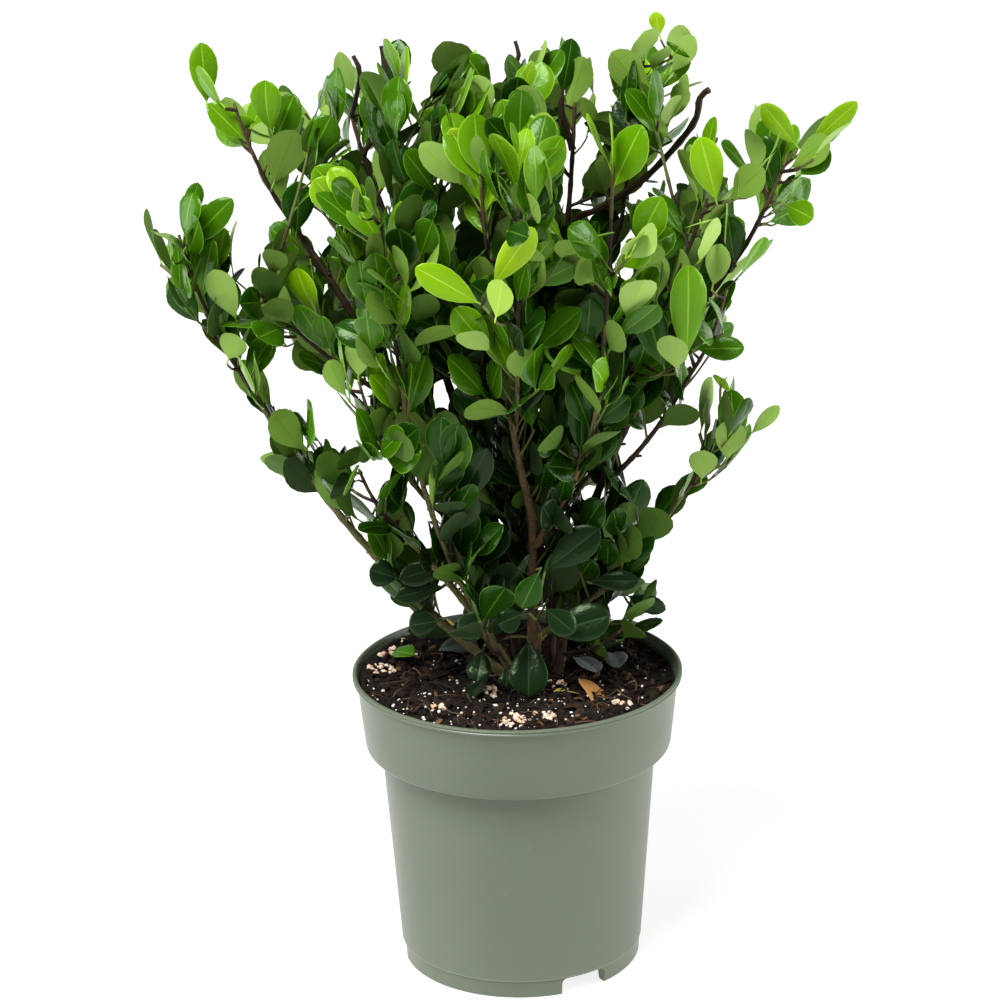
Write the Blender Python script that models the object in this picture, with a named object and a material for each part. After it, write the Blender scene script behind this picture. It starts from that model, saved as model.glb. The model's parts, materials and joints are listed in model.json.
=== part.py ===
"""A japanese holly shrub in its nursery pot, at its real size, in metres.

The pot stands on its underside at the origin with +Z up. The side that faces a
viewer at -Y is the front. Stems fan out of the soil like a vase, boughs leave
them, and each mass of foliage grows from the tip or the side of one limb.
"""
import math
import random
from collections import namedtuple

import bmesh
import bpy
import numpy as np
from mathutils import Matrix, Vector
from mathutils.bvhtree import BVHTree

MM = 0.001
GAP = 0.3 * MM
UP = Vector((0.0, 0.0, 1.0))
GOLDEN_ANGLE = math.radians(137.5)

# Pot, a 17 cm nursery pot
POT_HEIGHT = 158.0 * MM
LIP_RADIUS = 85.0 * MM
LIP_THICKNESS = 3.2 * MM
LIP_OVERHANG = 2.2 * MM
LIP_WIDTH = 3.3 * MM
BAND_BOTTOM = 117.6 * MM
BAND_BOTTOM_RADIUS = 79.1 * MM
BODY_TOP_RADIUS = 71.0 * MM
FOOT_LINE = 9.8 * MM
FOOT_LINE_RADIUS = 63.1 * MM
FOOT_RADIUS = 61.9 * MM
FOOT_RING_WIDTH = 5.0 * MM
FOOT_INSET = 0.7 * MM
WALL = 1.5 * MM
FLOOR_UNDER = 8.6 * MM
FLOOR_TOP = 10.4 * MM
PAD_RADIUS = 14.0 * MM
EDGE = 0.6 * MM
POT_SEGMENTS = 36
NOTCH_ANGLES = (-59.0, 61.0, 181.0)
NOTCH_WIDTH = 26.0 * MM
NOTCH_TOP = 9.0 * MM
DRAIN_COUNT = 6
DRAIN_SEGMENTS = 10
DRAIN_RADIUS = 4.5 * MM
DRAIN_CIRCLE = 38.0 * MM

# Soil, heaped a little round the stems
SOIL_CLEARANCE = 0.45 * MM
SOIL_TOP = 149.7 * MM
SOIL_EDGE = 146.5 * MM
SOIL_FLAT_RADIUS = 34.0 * MM

# Stems and boughs
COLLAR = Vector((8.0 * MM, 11.0 * MM, 150.0 * MM))
COLLAR_RADIUS = 13.5 * MM
LIMB_SIDES = 6
LIMB_STEP = 26.0 * MM
FLARE = 0.45
FLARE_LENGTH = 6.0 * MM

# Foliage: one main shoot in each mass, straight twigs along it, leaves on both
CLIP_HEIGHT = 470.0 * MM
SPRIG_HEIGHT = 500.0 * MM
SPRIG = "foliage_right_top"
SOIL_CLEAR_HEIGHT = 152.0 * MM
SPACE_SLACK = 16.0 * MM
CELL_MARGIN = 0.6 * MM
LIMB_MARGIN = 0.8 * MM
SHOOT_SHARE = 0.84
SHOOT_STEPS = 3
SHOOT_UPTURN = 0.26
SHOOT_TIP_RADIUS = 0.8 * MM
SIDE_SHOOT_RADIUS = 1.3 * MM
TWIG_SIDES = 3
TWIG_ROOT_RADIUS = 1.1 * MM
TWIG_TIP_RADIUS = 0.7 * MM
TWIG_LEAN = math.radians(52.0)
TWIG_FIRST = 0.15
TWIG_LAST = 0.87
TWIG_SHARE = 0.60
TWIG_SHORTENING = 0.5
TWIG_VARIETY = (0.8, 1.1)
TWIG_TRIES = (1.0, 0.75, 0.5)
TWIGS_PER_METRE = 46.0
LEAF_LENGTH = 41.0 * MM
LEAF_WIDTH = 25.0 * MM
LEAF_THICKNESS = 1.3 * MM
LEAF_MIDDLE = 0.5
LEAF_VARIETY = (0.82, 1.08)
LEAF_STEP = 9.0 * MM
LEAF_LEAN = math.radians(50.0)
LEAF_LEAN_VARIETY = (math.radians(-9.0), math.radians(12.0))
LEAF_UPTURN = 0.12
LEAF_TRIES = 16
TIP_LEAF_LEAN = math.radians(15.0)
TIP_LEAF_SHARE = 0.97
FIRST_LEAF = 12.0 * MM

# A leaf's corners are its root, tip, left, right, upper and lower middle
LEAF_FACES = [(end, side, middle) for middle in (4, 5) for end in (0, 1) for side in (2, 3)]

# A stem rises from the collar, a bough from its parent. Azimuth is in degrees
# from +X, reach and height in millimetres from the pot's axis and underside.
Stem = namedtuple("Stem", "name foot azimuth reach height bow thick thin")
Bough = namedtuple("Bough", "name parent along azimuth reach height bow thick thin")
Mass = namedtuple("Mass", "name limb along azimuth lift length girth")

STEMS = (
    Stem("stem_center", None, 0, 9, 240, 0.0, 3.0, 2.3),
    Stem("stem_left_low", 196, 186, 129, 312, 0.045, 2.6, 1.4),
    Stem("stem_left_high", 158, 172, 104, 384, -0.04, 3.0, 1.5),
    Stem("stem_back_left", 118, 138, 84, 384, -0.03, 2.8, 1.5),
    Stem("stem_back", 80, 98, 80, 380, -0.03, 2.8, 1.5),
    Stem("stem_back_right", 42, 56, 52, 378, -0.03, 2.8, 1.5),
    Stem("stem_right", 2, 0, 97, 353, -0.07, 2.8, 1.5),
    Stem("stem_front_left", 238, 207, 62, 241, -0.03, 2.6, 1.4),
)

BOUGHS = (
    Bough("bough_left_top", "stem_left_high", 0.76, 160, 92, 386, 0.04, 1.5, 1.1),
    Bough("bough_left_mid", "stem_left_high", 0.66, 184, 106, 342, 0.03, 1.4, 1.0),
    Bough("bough_left_near", "stem_left_high", 0.40, 207, 68, 286, 0.04, 1.4, 1.0),
    Bough("bough_front_left", "stem_front_left", 0.55, 228, 82, 340, 0.06, 1.5, 1.1),
    Bough("bough_center_left", "stem_center", 1.0, 262, 45, 345, 0.03, 2.1, 1.2),
    Bough("bough_center_right", "stem_center", 0.88, 326, 60, 330, 0.04, 1.9, 1.2),
    Bough("bough_right_low", "stem_center", 0.42, 349, 86, 256, 0.05, 1.5, 1.0),
    Bough("bough_right_mid", "stem_right", 0.55, 350, 88, 316, 0.04, 1.4, 1.0),
    Bough("bough_right_high", "bough_center_right", 0.80, 336, 92, 384, 0.04, 1.3, 1.0),
    Bough("bough_right_top", "stem_back_right", 0.86, 30, 68, 404, 0.12, 1.4, 1.0),
    Bough("bough_front", "bough_center_left", 0.55, 272, 84, 372, 0.10, 1.4, 1.0),
    Bough("bough_front_right", "bough_center_right", 0.50, 302, 84, 362, 0.10, 1.4, 1.0),
    Bough("bough_back_low", "stem_back", 0.42, 96, 84, 292, 0.05, 1.5, 1.1),
    Bough("bough_back_left_low", "stem_back_left", 0.42, 150, 92, 290, 0.05, 1.5, 1.1),
    Bough("bough_back_right_low", "stem_back_right", 0.42, 40, 88, 292, 0.05, 1.5, 1.1),
)

MASSES = (
    Mass("foliage_left_low", "stem_left_low", 1.0, 0, 0, 108, 24),
    Mass("foliage_left_high", "stem_left_high", 1.0, 0, 0, 100, 26),
    Mass("foliage_back_left", "stem_back_left", 1.0, 0, 0, 96, 40),
    Mass("foliage_back", "stem_back", 1.0, 0, 0, 98, 40),
    Mass("foliage_back_right", "stem_back_right", 1.0, 0, 0, 98, 40),
    Mass("foliage_right_arm", "stem_right", 1.0, 0, 0, 124, 26),
    Mass("foliage_front_left_low", "stem_front_left", 1.0, 0, 0, 60, 34),
    Mass("foliage_left_top", "bough_left_top", 1.0, 0, 0, 92, 36),
    Mass("foliage_left_mid", "bough_left_mid", 1.0, 0, 0, 58, 26),
    Mass("foliage_left_near", "bough_left_near", 1.0, 0, 0, 60, 32),
    Mass("foliage_front_left", "bough_front_left", 1.0, 0, 0, 100, 40),
    Mass("foliage_center_left", "bough_center_left", 1.0, 0, 0, 110, 40),
    Mass("foliage_center_right", "bough_center_right", 1.0, 0, 0, 110, 40),
    Mass("foliage_right_low", "bough_right_low", 1.0, 0, 0, 58, 22),
    Mass("foliage_right_mid", "bough_right_mid", 1.0, 0, 0, 64, 22),
    Mass("foliage_right_high", "bough_right_high", 1.0, 0, 0, 88, 38),
    Mass("foliage_right_top", "bough_right_top", 1.0, 0, 0, 96, 24),
    Mass("foliage_front", "bough_front", 1.0, 0, 0, 96, 42),
    Mass("foliage_front_right", "bough_front_right", 1.0, 0, 0, 100, 42),
    Mass("foliage_back_low", "bough_back_low", 1.0, 0, 0, 78, 40),
    Mass("foliage_back_left_low", "bough_back_left_low", 1.0, 0, 0, 78, 40),
    Mass("foliage_back_right_low", "bough_back_right_low", 1.0, 0, 0, 80, 40),
    Mass("foliage_core_low", "stem_back", 0.30, 250, 55, 74, 38),
    Mass("foliage_core_left", "stem_left_high", 0.56, 75, 62, 96, 38),
    Mass("foliage_core_right", "stem_right", 0.62, 120, 64, 90, 38),
    Mass("foliage_core_top", "stem_back_right", 0.72, 250, 60, 100, 40),
    Mass("foliage_front_left_high", "bough_center_left", 0.62, 200, 60, 120, 40),
    Mass("foliage_left_arm", "stem_left_low", 0.70, 120, 60, 50, 24),
    Mass("foliage_foot_front", "stem_center", 0.30, 275, 22, 60, 34),
    Mass("foliage_foot_left", "stem_front_left", 0.35, 255, 26, 60, 34),
    Mass("foliage_foot_right", "stem_right", 0.14, 335, 20, 60, 34),
    Mass("foliage_foot_back", "stem_back", 0.12, 20, 24, 56, 34),
    Mass("foliage_foot_far_left", "stem_left_low", 0.22, 150, 30, 56, 34),
    Mass("foliage_right_back", "stem_right", 0.80, 62, 50, 96, 40),
    Mass("foliage_right_base", "bough_right_low", 0.40, 40, 62, 80, 34),
)

TIP = 1.0
STEM_BARK = ("bark_tan", (0.30, 0.19, 0.10), 0.8)
BOUGH_BARK = ("bark_dark", (0.10, 0.07, 0.05), 0.75)
LEAF_GREEN = ("leaf_green", (0.10, 0.30, 0.05), 0.35)
POT_GREEN = ("pot_green", (0.22, 0.27, 0.18), 0.4)
SOIL_BROWN = ("soil_brown", (0.05, 0.03, 0.02), 0.95)

Path = namedtuple("Path", "points radii cut")
Cell = namedtuple("Cell", "name centre axis length girth top")


def clear_scene():
    """Remove whatever the scene holds."""
    for thing in list(bpy.data.objects):
        bpy.data.objects.remove(thing, do_unlink=True)


def make_material(name, colour, roughness):
    """Return the plain material of one kind of sub-part."""
    material = bpy.data.materials.get(name)
    if material:
        return material
    material = bpy.data.materials.new(name)
    material.use_nodes = True
    shader = material.node_tree.nodes["Principled BSDF"]
    shader.inputs["Base Color"].default_value = (*colour, 1.0)
    shader.inputs["Roughness"].default_value = roughness
    return material


def add_object(name, mesh, finish):
    """Link a mesh to the scene as a named sub-part."""
    mesh.materials.clear()
    mesh.materials.append(make_material(*finish))
    thing = bpy.data.objects.new(name, mesh)
    bpy.context.scene.collection.objects.link(thing)
    return thing


def mesh_from(shape, name):
    """Turn a bmesh into a mesh whose faces point outwards."""
    bmesh.ops.recalc_face_normals(shape, faces=shape.faces)
    mesh = bpy.data.meshes.new(name)
    shape.to_mesh(mesh)
    shape.free()
    return mesh


def polar(azimuth, reach, height):
    """Return the point at an azimuth in degrees, a reach and a height."""
    angle = math.radians(azimuth)
    return Vector((reach * math.cos(angle), reach * math.sin(angle), height))


# Turned shapes

def turned(profile, name):
    """Spin a closed outline of (radius, height) about the Z axis."""
    shape = bmesh.new()
    corners = [shape.verts.new((radius, 0.0, height)) for radius, height in profile]
    edges = [shape.edges.new(pair) for pair in zip(corners, corners[1:])]
    bmesh.ops.spin(
        shape,
        geom=corners + edges,
        axis=UP,
        cent=(0.0, 0.0, 0.0),
        angle=math.tau,
        steps=POT_SEGMENTS,
        use_merge=True,
    )
    bmesh.ops.remove_doubles(shape, verts=shape.verts, dist=0.01 * MM)
    bmesh.ops.triangulate(shape, faces=shape.faces)
    return mesh_from(shape, name)


def pot_profile():
    """Outline of the pot's wall, from the pad under it round to its floor."""
    lip_under = POT_HEIGHT - LIP_THICKNESS
    wall_top = LIP_RADIUS - LIP_OVERHANG
    mouth = LIP_RADIUS - LIP_WIDTH
    shelf = BAND_BOTTOM + WALL
    ring_inside = FOOT_RADIUS - FOOT_RING_WIDTH
    return [
        (0.0, 0.0),
        (PAD_RADIUS, 0.0),
        (PAD_RADIUS + 2 * MM, FLOOR_UNDER),
        (ring_inside - 2 * MM, FLOOR_UNDER),
        (ring_inside, 0.0),
        (FOOT_RADIUS - EDGE, 0.0),
        (FOOT_RADIUS, EDGE),
        (FOOT_LINE_RADIUS - FOOT_INSET, FOOT_LINE - EDGE),
        (FOOT_LINE_RADIUS, FOOT_LINE),
        (BODY_TOP_RADIUS, BAND_BOTTOM - EDGE),
        (BAND_BOTTOM_RADIUS - 2 * EDGE, BAND_BOTTOM),
        (BAND_BOTTOM_RADIUS, BAND_BOTTOM + 2 * EDGE),
        (wall_top, lip_under),
        (LIP_RADIUS, lip_under + EDGE / 2),
        (LIP_RADIUS, POT_HEIGHT - EDGE),
        (LIP_RADIUS - EDGE, POT_HEIGHT),
        (mouth, POT_HEIGHT),
        (BAND_BOTTOM_RADIUS - WALL, shelf + EDGE),
        (BODY_TOP_RADIUS - WALL, shelf),
        (FOOT_LINE_RADIUS - WALL, FLOOR_TOP + EDGE),
        (FOOT_LINE_RADIUS - WALL - EDGE, FLOOR_TOP),
        (0.0, FLOOR_TOP),
    ]


def soil_profile():
    """Outline of the soil, a little clear of the pot's floor and walls."""
    shelf = BAND_BOTTOM + WALL + EDGE + SOIL_CLEARANCE
    mouth = LIP_RADIUS - LIP_WIDTH
    band_inside = BAND_BOTTOM_RADIUS - WALL
    rise = (SOIL_EDGE - shelf) / (POT_HEIGHT - shelf)
    edge_radius = band_inside + (mouth - band_inside) * rise - 2 * SOIL_CLEARANCE
    foot = FOOT_LINE_RADIUS - WALL - SOIL_CLEARANCE
    return [
        (0.0, FLOOR_TOP + GAP),
        (foot - 2 * EDGE, FLOOR_TOP + GAP),
        (foot, FLOOR_TOP + 3 * EDGE),
        (BODY_TOP_RADIUS - WALL - SOIL_CLEARANCE, shelf),
        (band_inside - 2 * SOIL_CLEARANCE, shelf + EDGE),
        (edge_radius, SOIL_EDGE),
        (0.5 * (edge_radius + SOIL_FLAT_RADIUS), 0.5 * (SOIL_EDGE + SOIL_TOP) + EDGE),
        (SOIL_FLAT_RADIUS, SOIL_TOP),
        (0.0, SOIL_TOP),
    ]


def cutter(mesh, name):
    """Add a guide object that only cuts others."""
    thing = add_object(name, mesh, POT_GREEN)
    thing.hide_render = True
    thing.display_type = "WIRE"
    return thing


def notch_cutter(index, azimuth):
    """A block that cuts one drainage arch through the foot ring."""
    shape = bmesh.new()
    depth = 4 * FOOT_RING_WIDTH
    place = (
        Matrix.Rotation(math.radians(azimuth), 4, "Z")
        @ Matrix.Translation((FOOT_RADIUS - FOOT_RING_WIDTH / 2, 0.0, NOTCH_TOP / 2 - MM))
        @ Matrix.Diagonal((depth, NOTCH_WIDTH, NOTCH_TOP + 2 * MM, 1.0))
    )
    bmesh.ops.create_cube(shape, size=1.0, matrix=place)
    return cutter(mesh_from(shape, f"notch_{index}"), f"notch_{index}")


def drain_cutter(index):
    """A round peg that cuts one drain hole through the floor."""
    shape = bmesh.new()
    azimuth = 360.0 * (index + 0.5) / DRAIN_COUNT
    centre = polar(azimuth, DRAIN_CIRCLE, 0.5 * (FLOOR_UNDER + FLOOR_TOP))
    bmesh.ops.create_cone(
        shape,
        cap_ends=True,
        segments=DRAIN_SEGMENTS,
        radius1=DRAIN_RADIUS,
        radius2=DRAIN_RADIUS,
        depth=4 * (FLOOR_TOP - FLOOR_UNDER),
        matrix=Matrix.Translation(centre),
    )
    return cutter(mesh_from(shape, f"drain_{index}"), f"drain_{index}")


def make_pot():
    """The open pot with its lip, band, tapering body and notched foot."""
    pot = add_object("pot", turned(pot_profile(), "pot"), POT_GREEN)
    tools = [notch_cutter(index, azimuth) for index, azimuth in enumerate(NOTCH_ANGLES)]
    tools += [drain_cutter(index) for index in range(DRAIN_COUNT)]
    for tool in tools:
        cut = pot.modifiers.new(tool.name, "BOOLEAN")
        cut.operation = "DIFFERENCE"
        cut.object = tool
    return pot


def make_soil():
    """The potting soil that fills the pot."""
    return add_object("soil", turned(soil_profile(), "soil"), SOIL_BROWN)


# Limbs

def limb_curve(start, end, bow):
    """Points from start to end on one curve that sags outwards by bow."""
    chord = end - start
    outward = Vector((chord.x, chord.y, 0.0))
    steps = max(3, round(chord.length / LIMB_STEP))
    if outward.length < MM:
        return [start + chord * step / steps for step in range(steps + 1)]
    side = chord.cross(UP).normalized()
    sag = side.cross(chord).normalized() * -bow * chord.length
    bend = start + 0.5 * chord + 2.0 * sag
    points = []
    for step in range(steps + 1):
        t = step / steps
        points.append((1 - t) ** 2 * start + 2 * t * (1 - t) * bend + t * t * end)
    return points


def tapered(points, thick, thin):
    """Radii that taper evenly along a path."""
    last = len(points) - 1
    return [thick + (thin - thick) * step / last for step in range(last + 1)]


def point_along(path, share):
    """Point, direction and radius at a share of a path's length."""
    place = share * (len(path.points) - 1)
    index = min(int(place), len(path.points) - 2)
    part = place - index
    low, high = path.points[index], path.points[index + 1]
    radius = path.radii[index] + (path.radii[index + 1] - path.radii[index]) * part
    return low.lerp(high, part), (high - low).normalized(), radius


def seat_on(path, share, aim):
    """Where a new limb meets a parent: its start and the plane of its cut."""
    point, direction, radius = point_along(path, share)
    if share >= TIP:
        return point + direction * GAP, direction
    away = (aim - direction * aim.dot(direction)).normalized()
    return point + away * (radius + GAP), away


def stem_path(stem):
    """The axis of one stem, from its flat cut on the soil."""
    if stem.foot is None:
        start = COLLAR.copy()
    else:
        start = COLLAR + polar(stem.foot, COLLAR_RADIUS, 0.0)
    end = polar(stem.azimuth, stem.reach * MM, stem.height * MM)
    points = limb_curve(start, end, stem.bow)
    rise = points[0] + (points[1] - points[0]) * (FLARE_LENGTH / (points[1] - points[0]).length)
    points.insert(1, rise)
    radii = tapered(points, stem.thick * MM, stem.thin * MM)
    radii[0] *= 1.0 + FLARE
    return Path(points, radii, UP)


def bough_path(bough, paths):
    """The axis of one bough, from the limb that carries it."""
    end = polar(bough.azimuth, bough.reach * MM, bough.height * MM)
    parent = paths[bough.parent]
    aim = (end - point_along(parent, bough.along)[0]).normalized()
    start, cut = seat_on(parent, bough.along, aim)
    points = limb_curve(start, end, bough.bow)
    return Path(points, tapered(points, bough.thick * MM, bough.thin * MM), cut)


def grow_limbs():
    """Work out the paths of all stems and boughs, by name."""
    paths = {stem.name: stem_path(stem) for stem in STEMS}
    for bough in BOUGHS:
        paths[bough.name] = bough_path(bough, paths)
    return paths


def tube(path, sides, name):
    """A closed tapering tube along a path, its foot cut on the path's plane."""
    shape = bmesh.new()
    rings = []
    across = (path.points[1] - path.points[0]).orthogonal().normalized()
    last = len(path.points) - 1
    for index, point in enumerate(path.points):
        before = path.points[max(index - 1, 0)]
        after = path.points[min(index + 1, last)]
        direction = (after - before).normalized()
        across = (across - direction * across.dot(direction)).normalized()
        other = direction.cross(across)
        ring = []
        for side in range(sides):
            turn = math.tau * side / sides
            corner = point + path.radii[index] * (math.cos(turn) * across + math.sin(turn) * other)
            if index == 0:
                slip = (point - corner).dot(path.cut) / direction.dot(path.cut)
                corner += direction * slip
            ring.append(shape.verts.new(corner))
        rings.append(ring)
    for low, high in zip(rings, rings[1:]):
        for side in range(sides):
            following = (side + 1) % sides
            shape.faces.new((low[side], low[following], high[following], high[side]))
    shape.faces.new(list(reversed(rings[0])))
    shape.faces.new(rings[-1])
    bmesh.ops.triangulate(shape, faces=shape.faces)
    return mesh_from(shape, name)


# Foliage

def shoot_path(mass, paths):
    """The main shoot of a mass, which turns up towards the light."""
    limb = paths[mass.limb]
    _, direction, radius = point_along(limb, mass.along)
    if mass.along < TIP:
        lift = math.radians(mass.lift)
        direction = polar(mass.azimuth, math.cos(lift), math.sin(lift))
        radius = SIDE_SHOOT_RADIUS
    start, cut = seat_on(limb, mass.along, direction)
    points = [start]
    step = SHOOT_SHARE * mass.length * MM / SHOOT_STEPS
    for _ in range(SHOOT_STEPS):
        points.append(points[-1] + direction * step)
        direction = direction.lerp(UP, SHOOT_UPTURN).normalized()
    return Path(points, tapered(points, radius, SHOOT_TIP_RADIUS), cut)


def mass_cell(mass, shoot):
    """The space that a mass may fill: a long round body about its shoot."""
    axis = (shoot.points[-1] - shoot.points[0]).normalized()
    centre = shoot.points[0] + axis * 0.5 * mass.length * MM
    top = SPRIG_HEIGHT if mass.name == SPRIG else CLIP_HEIGHT
    reach = 0.5 * mass.length * MM + SPACE_SLACK
    return Cell(mass.name, centre, axis, reach, mass.girth * MM + SPACE_SLACK, top)


def samples(path, step=2.0 * MM):
    """Points and radii close together along a path, as rows of four numbers."""
    rows = []
    for low, high, thick, thin in zip(path.points, path.points[1:], path.radii, path.radii[1:]):
        count = max(1, math.ceil((high - low).length / step))
        for index in range(count + 1):
            part = index / count
            rows.append((*low.lerp(high, part), thick + (thin - thick) * part))
    return np.array(rows)


class Space:
    """The room a mass may grow in, clear of all limbs and other masses."""

    def __init__(self, cell, cells, obstacles):
        self.cell = cell
        self.centre = np.array(cell.centre)
        self.axis = np.array(cell.axis)
        others = [other for other in cells if other.name != cell.name]
        self.others = np.array([other.centre for other in others])
        self.obstacles = np.vstack(obstacles)

    def holds(self, points, radius):
        """Whether a body about these points stays in the space, clear of limbs."""
        places = np.array([tuple(point) for point in points])
        away = places - self.centre
        along = away @ self.axis
        across = np.linalg.norm(away - along[:, None] * self.axis, axis=1)
        if ((along / self.cell.length) ** 2 + (across / self.cell.girth) ** 2 > 1.0).any():
            return False
        if (places[:, 2] > self.cell.top).any() or (places[:, 2] < SOIL_CLEAR_HEIGHT).any():
            return False
        mine = (away ** 2).sum(axis=1)
        theirs = ((places[:, None] - self.others) ** 2).sum(axis=2)
        apart = np.linalg.norm(self.others - self.centre, axis=1)
        if (theirs - mine[:, None] < 2.0 * apart * (CELL_MARGIN + radius)).any():
            return False
        reach = np.linalg.norm(places[:, None] - self.obstacles[:, :3], axis=2)
        return bool((reach - self.obstacles[:, 3] > radius + LIMB_MARGIN).all())


def turned_off(direction, turn, lean):
    """A direction that leans away from another, turned about it."""
    side = direction.orthogonal().normalized()
    side.rotate(Matrix.Rotation(turn, 3, direction))
    return direction * math.cos(lean) + side * math.sin(lean)


def twig_paths(mass, shoot, space, draw):
    """Side twigs that leave the main shoot by turns and end inside the space."""
    count = max(2, round(mass.length * MM * TWIGS_PER_METRE))
    twigs = []
    turn = draw.uniform(0.0, math.tau)
    for index in range(count):
        share = TWIG_FIRST + (TWIG_LAST - TWIG_FIRST) * index / (count - 1)
        root, direction, _ = point_along(shoot, share)
        turn += GOLDEN_ANGLE
        heading = turned_off(direction, turn, TWIG_LEAN)
        length = TWIG_SHARE * mass.length * MM * draw.uniform(*TWIG_VARIETY)
        length *= 1.0 - TWIG_SHORTENING * share
        for part in TWIG_TRIES:
            end = root + heading * length * part
            spots = [root.lerp(end, place) for place in (0.25, 0.5, 0.75, 1.0)]
            if space.holds(spots, TWIG_ROOT_RADIUS):
                twigs.append(Path([root, end], [TWIG_ROOT_RADIUS, TWIG_TIP_RADIUS], heading))
                break
    return twigs


def leaf_corners(root, direction, blade_up, length, width):
    """The six corners of a leaf: root, tip, two sides, upper and lower middle."""
    side = direction.cross(blade_up).normalized()
    blade_up = side.cross(direction).normalized()
    middle = root + direction * LEAF_MIDDLE * length
    return (
        root,
        root + direction * length,
        middle + side * 0.5 * width,
        middle - side * 0.5 * width,
        middle + blade_up * 0.5 * LEAF_THICKNESS,
        middle - blade_up * 0.5 * LEAF_THICKNESS,
    )


def leaf_samples(corners):
    """Points spread over a leaf, for the tests of its room."""
    root, tip, left, right, _, _ = corners
    edge = [end.lerp(side, 0.5) for end in (root, tip) for side in (left, right)]
    middle = [root.lerp(tip, part) for part in (0.25, 0.4, 0.55, 0.7, 0.85)]
    half = [root.lerp(tip, LEAF_MIDDLE).lerp(side, 0.5) for side in (left, right)]
    return [tip, left, right, *edge, *middle, *half]


def has_room(corners, space, trees):
    """Whether a leaf stays in its space and crosses no other leaf or twig."""
    if not space.holds(leaf_samples(corners), LEAF_THICKNESS):
        return False
    tree = BVHTree.FromPolygons(corners, LEAF_FACES)
    return not any(tree.overlap(other) for other in trees)


def leaf_at(path, share, turn, lean, length):
    """A leaf that leaves a twig at one place, turned about it by an angle."""
    root, direction, _ = point_along(path, share)
    heading = turned_off(direction, turn, lean).lerp(UP, LEAF_UPTURN).normalized()
    width = LEAF_WIDTH * length / LEAF_LENGTH
    return leaf_corners(root, heading, direction + 0.5 * UP, length, width)


def leaves_on(path, first, space, trees, draw):
    """Leaves set by turns along a twig, and one at its tip, added to the trees."""
    leaves = []
    total = sum((high - low).length for low, high in zip(path.points, path.points[1:]))
    count = max(1, int((total - first) / LEAF_STEP) + 1)
    turn = draw.uniform(0.0, math.tau)
    for index in range(count + 1):
        share = min(TIP_LEAF_SHARE, (first + index * LEAF_STEP) / total)
        lean = LEAF_LEAN + draw.uniform(*LEAF_LEAN_VARIETY)
        length = LEAF_LENGTH * draw.uniform(*LEAF_VARIETY)
        if index == count:
            share, lean = TIP_LEAF_SHARE, TIP_LEAF_LEAN
        turn += GOLDEN_ANGLE
        for attempt in range(LEAF_TRIES):
            corners = leaf_at(path, share, turn + attempt * math.tau / LEAF_TRIES, lean, length)
            if has_room(corners, space, trees):
                trees.append(BVHTree.FromPolygons(corners, LEAF_FACES))
                leaves.append(corners)
                break
    return leaves


def leaf_mesh(corners, name):
    """A thin closed leaf of eight faces."""
    shape = bmesh.new()
    spots = [shape.verts.new(corner) for corner in corners]
    for face in LEAF_FACES:
        shape.faces.new([spots[index] for index in face])
    return mesh_from(shape, name)


def largest_piece(mesh, name):
    """Keep the largest closed piece of a mesh, without scraps or hollows."""
    shape = bmesh.new()
    shape.from_mesh(mesh)
    bmesh.ops.triangulate(shape, faces=shape.faces)
    waiting = set(shape.verts)
    pieces = []
    while waiting:
        piece = set()
        front = [waiting.pop()]
        while front:
            corner = front.pop()
            piece.add(corner)
            for edge in corner.link_edges:
                other = edge.other_vert(corner)
                if other in waiting:
                    waiting.remove(other)
                    front.append(other)
        pieces.append(piece)
    pieces.sort(key=len)
    scraps = [corner for piece in pieces[:-1] for corner in piece]
    bmesh.ops.delete(shape, geom=scraps, context="VERTS")
    result = bpy.data.meshes.new(name)
    shape.to_mesh(result)
    shape.free()
    return result


def fuse(name, meshes, finish):
    """Join overlapping closed meshes into one solid sub-part."""
    group = bpy.data.collections.new(f"{name}_parts")
    bpy.context.scene.collection.children.link(group)
    for index, mesh in enumerate(meshes[1:]):
        group.objects.link(bpy.data.objects.new(f"{name}_{index}", mesh))
    base = bpy.data.objects.new(f"{name}_base", meshes[0])
    bpy.context.scene.collection.objects.link(base)
    union = base.modifiers.new("union", "BOOLEAN")
    union.operation = "UNION"
    union.operand_type = "COLLECTION"
    union.collection = group
    union.solver = "EXACT"
    union.use_self = True
    view = bpy.context.evaluated_depsgraph_get()
    joined = bpy.data.meshes.new_from_object(base.evaluated_get(view))
    for thing in [base, *group.objects]:
        bpy.data.objects.remove(thing, do_unlink=True)
    bpy.data.collections.remove(group)
    return add_object(name, largest_piece(joined, name), finish)


def tree_of(mesh):
    """A search tree over a mesh, for tests of crossing."""
    corners = [corner.co for corner in mesh.vertices]
    return BVHTree.FromPolygons(corners, [tuple(face.vertices) for face in mesh.polygons])


def grow_mass(mass, shoot, space):
    """One mass of foliage: its shoot, twigs and leaves as one solid."""
    draw = random.Random(mass.name)
    axes = [shoot] + twig_paths(mass, shoot, space, draw)
    wood = [tube(axis, TWIG_SIDES, mass.name) for axis in axes]
    trees = [tree_of(mesh) for mesh in wood]
    leaves = []
    blades = []
    for index, axis in enumerate(axes):
        others = trees[:index] + trees[index + 1:] + blades
        known = len(others)
        first = FIRST_LEAF if index == 0 else 0.5 * LEAF_STEP
        leaves += leaves_on(axis, first, space, others, draw)
        blades += others[known:]
    meshes = wood + [leaf_mesh(corners, mass.name) for corners in leaves]
    return fuse(mass.name, meshes, LEAF_GREEN)


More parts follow.
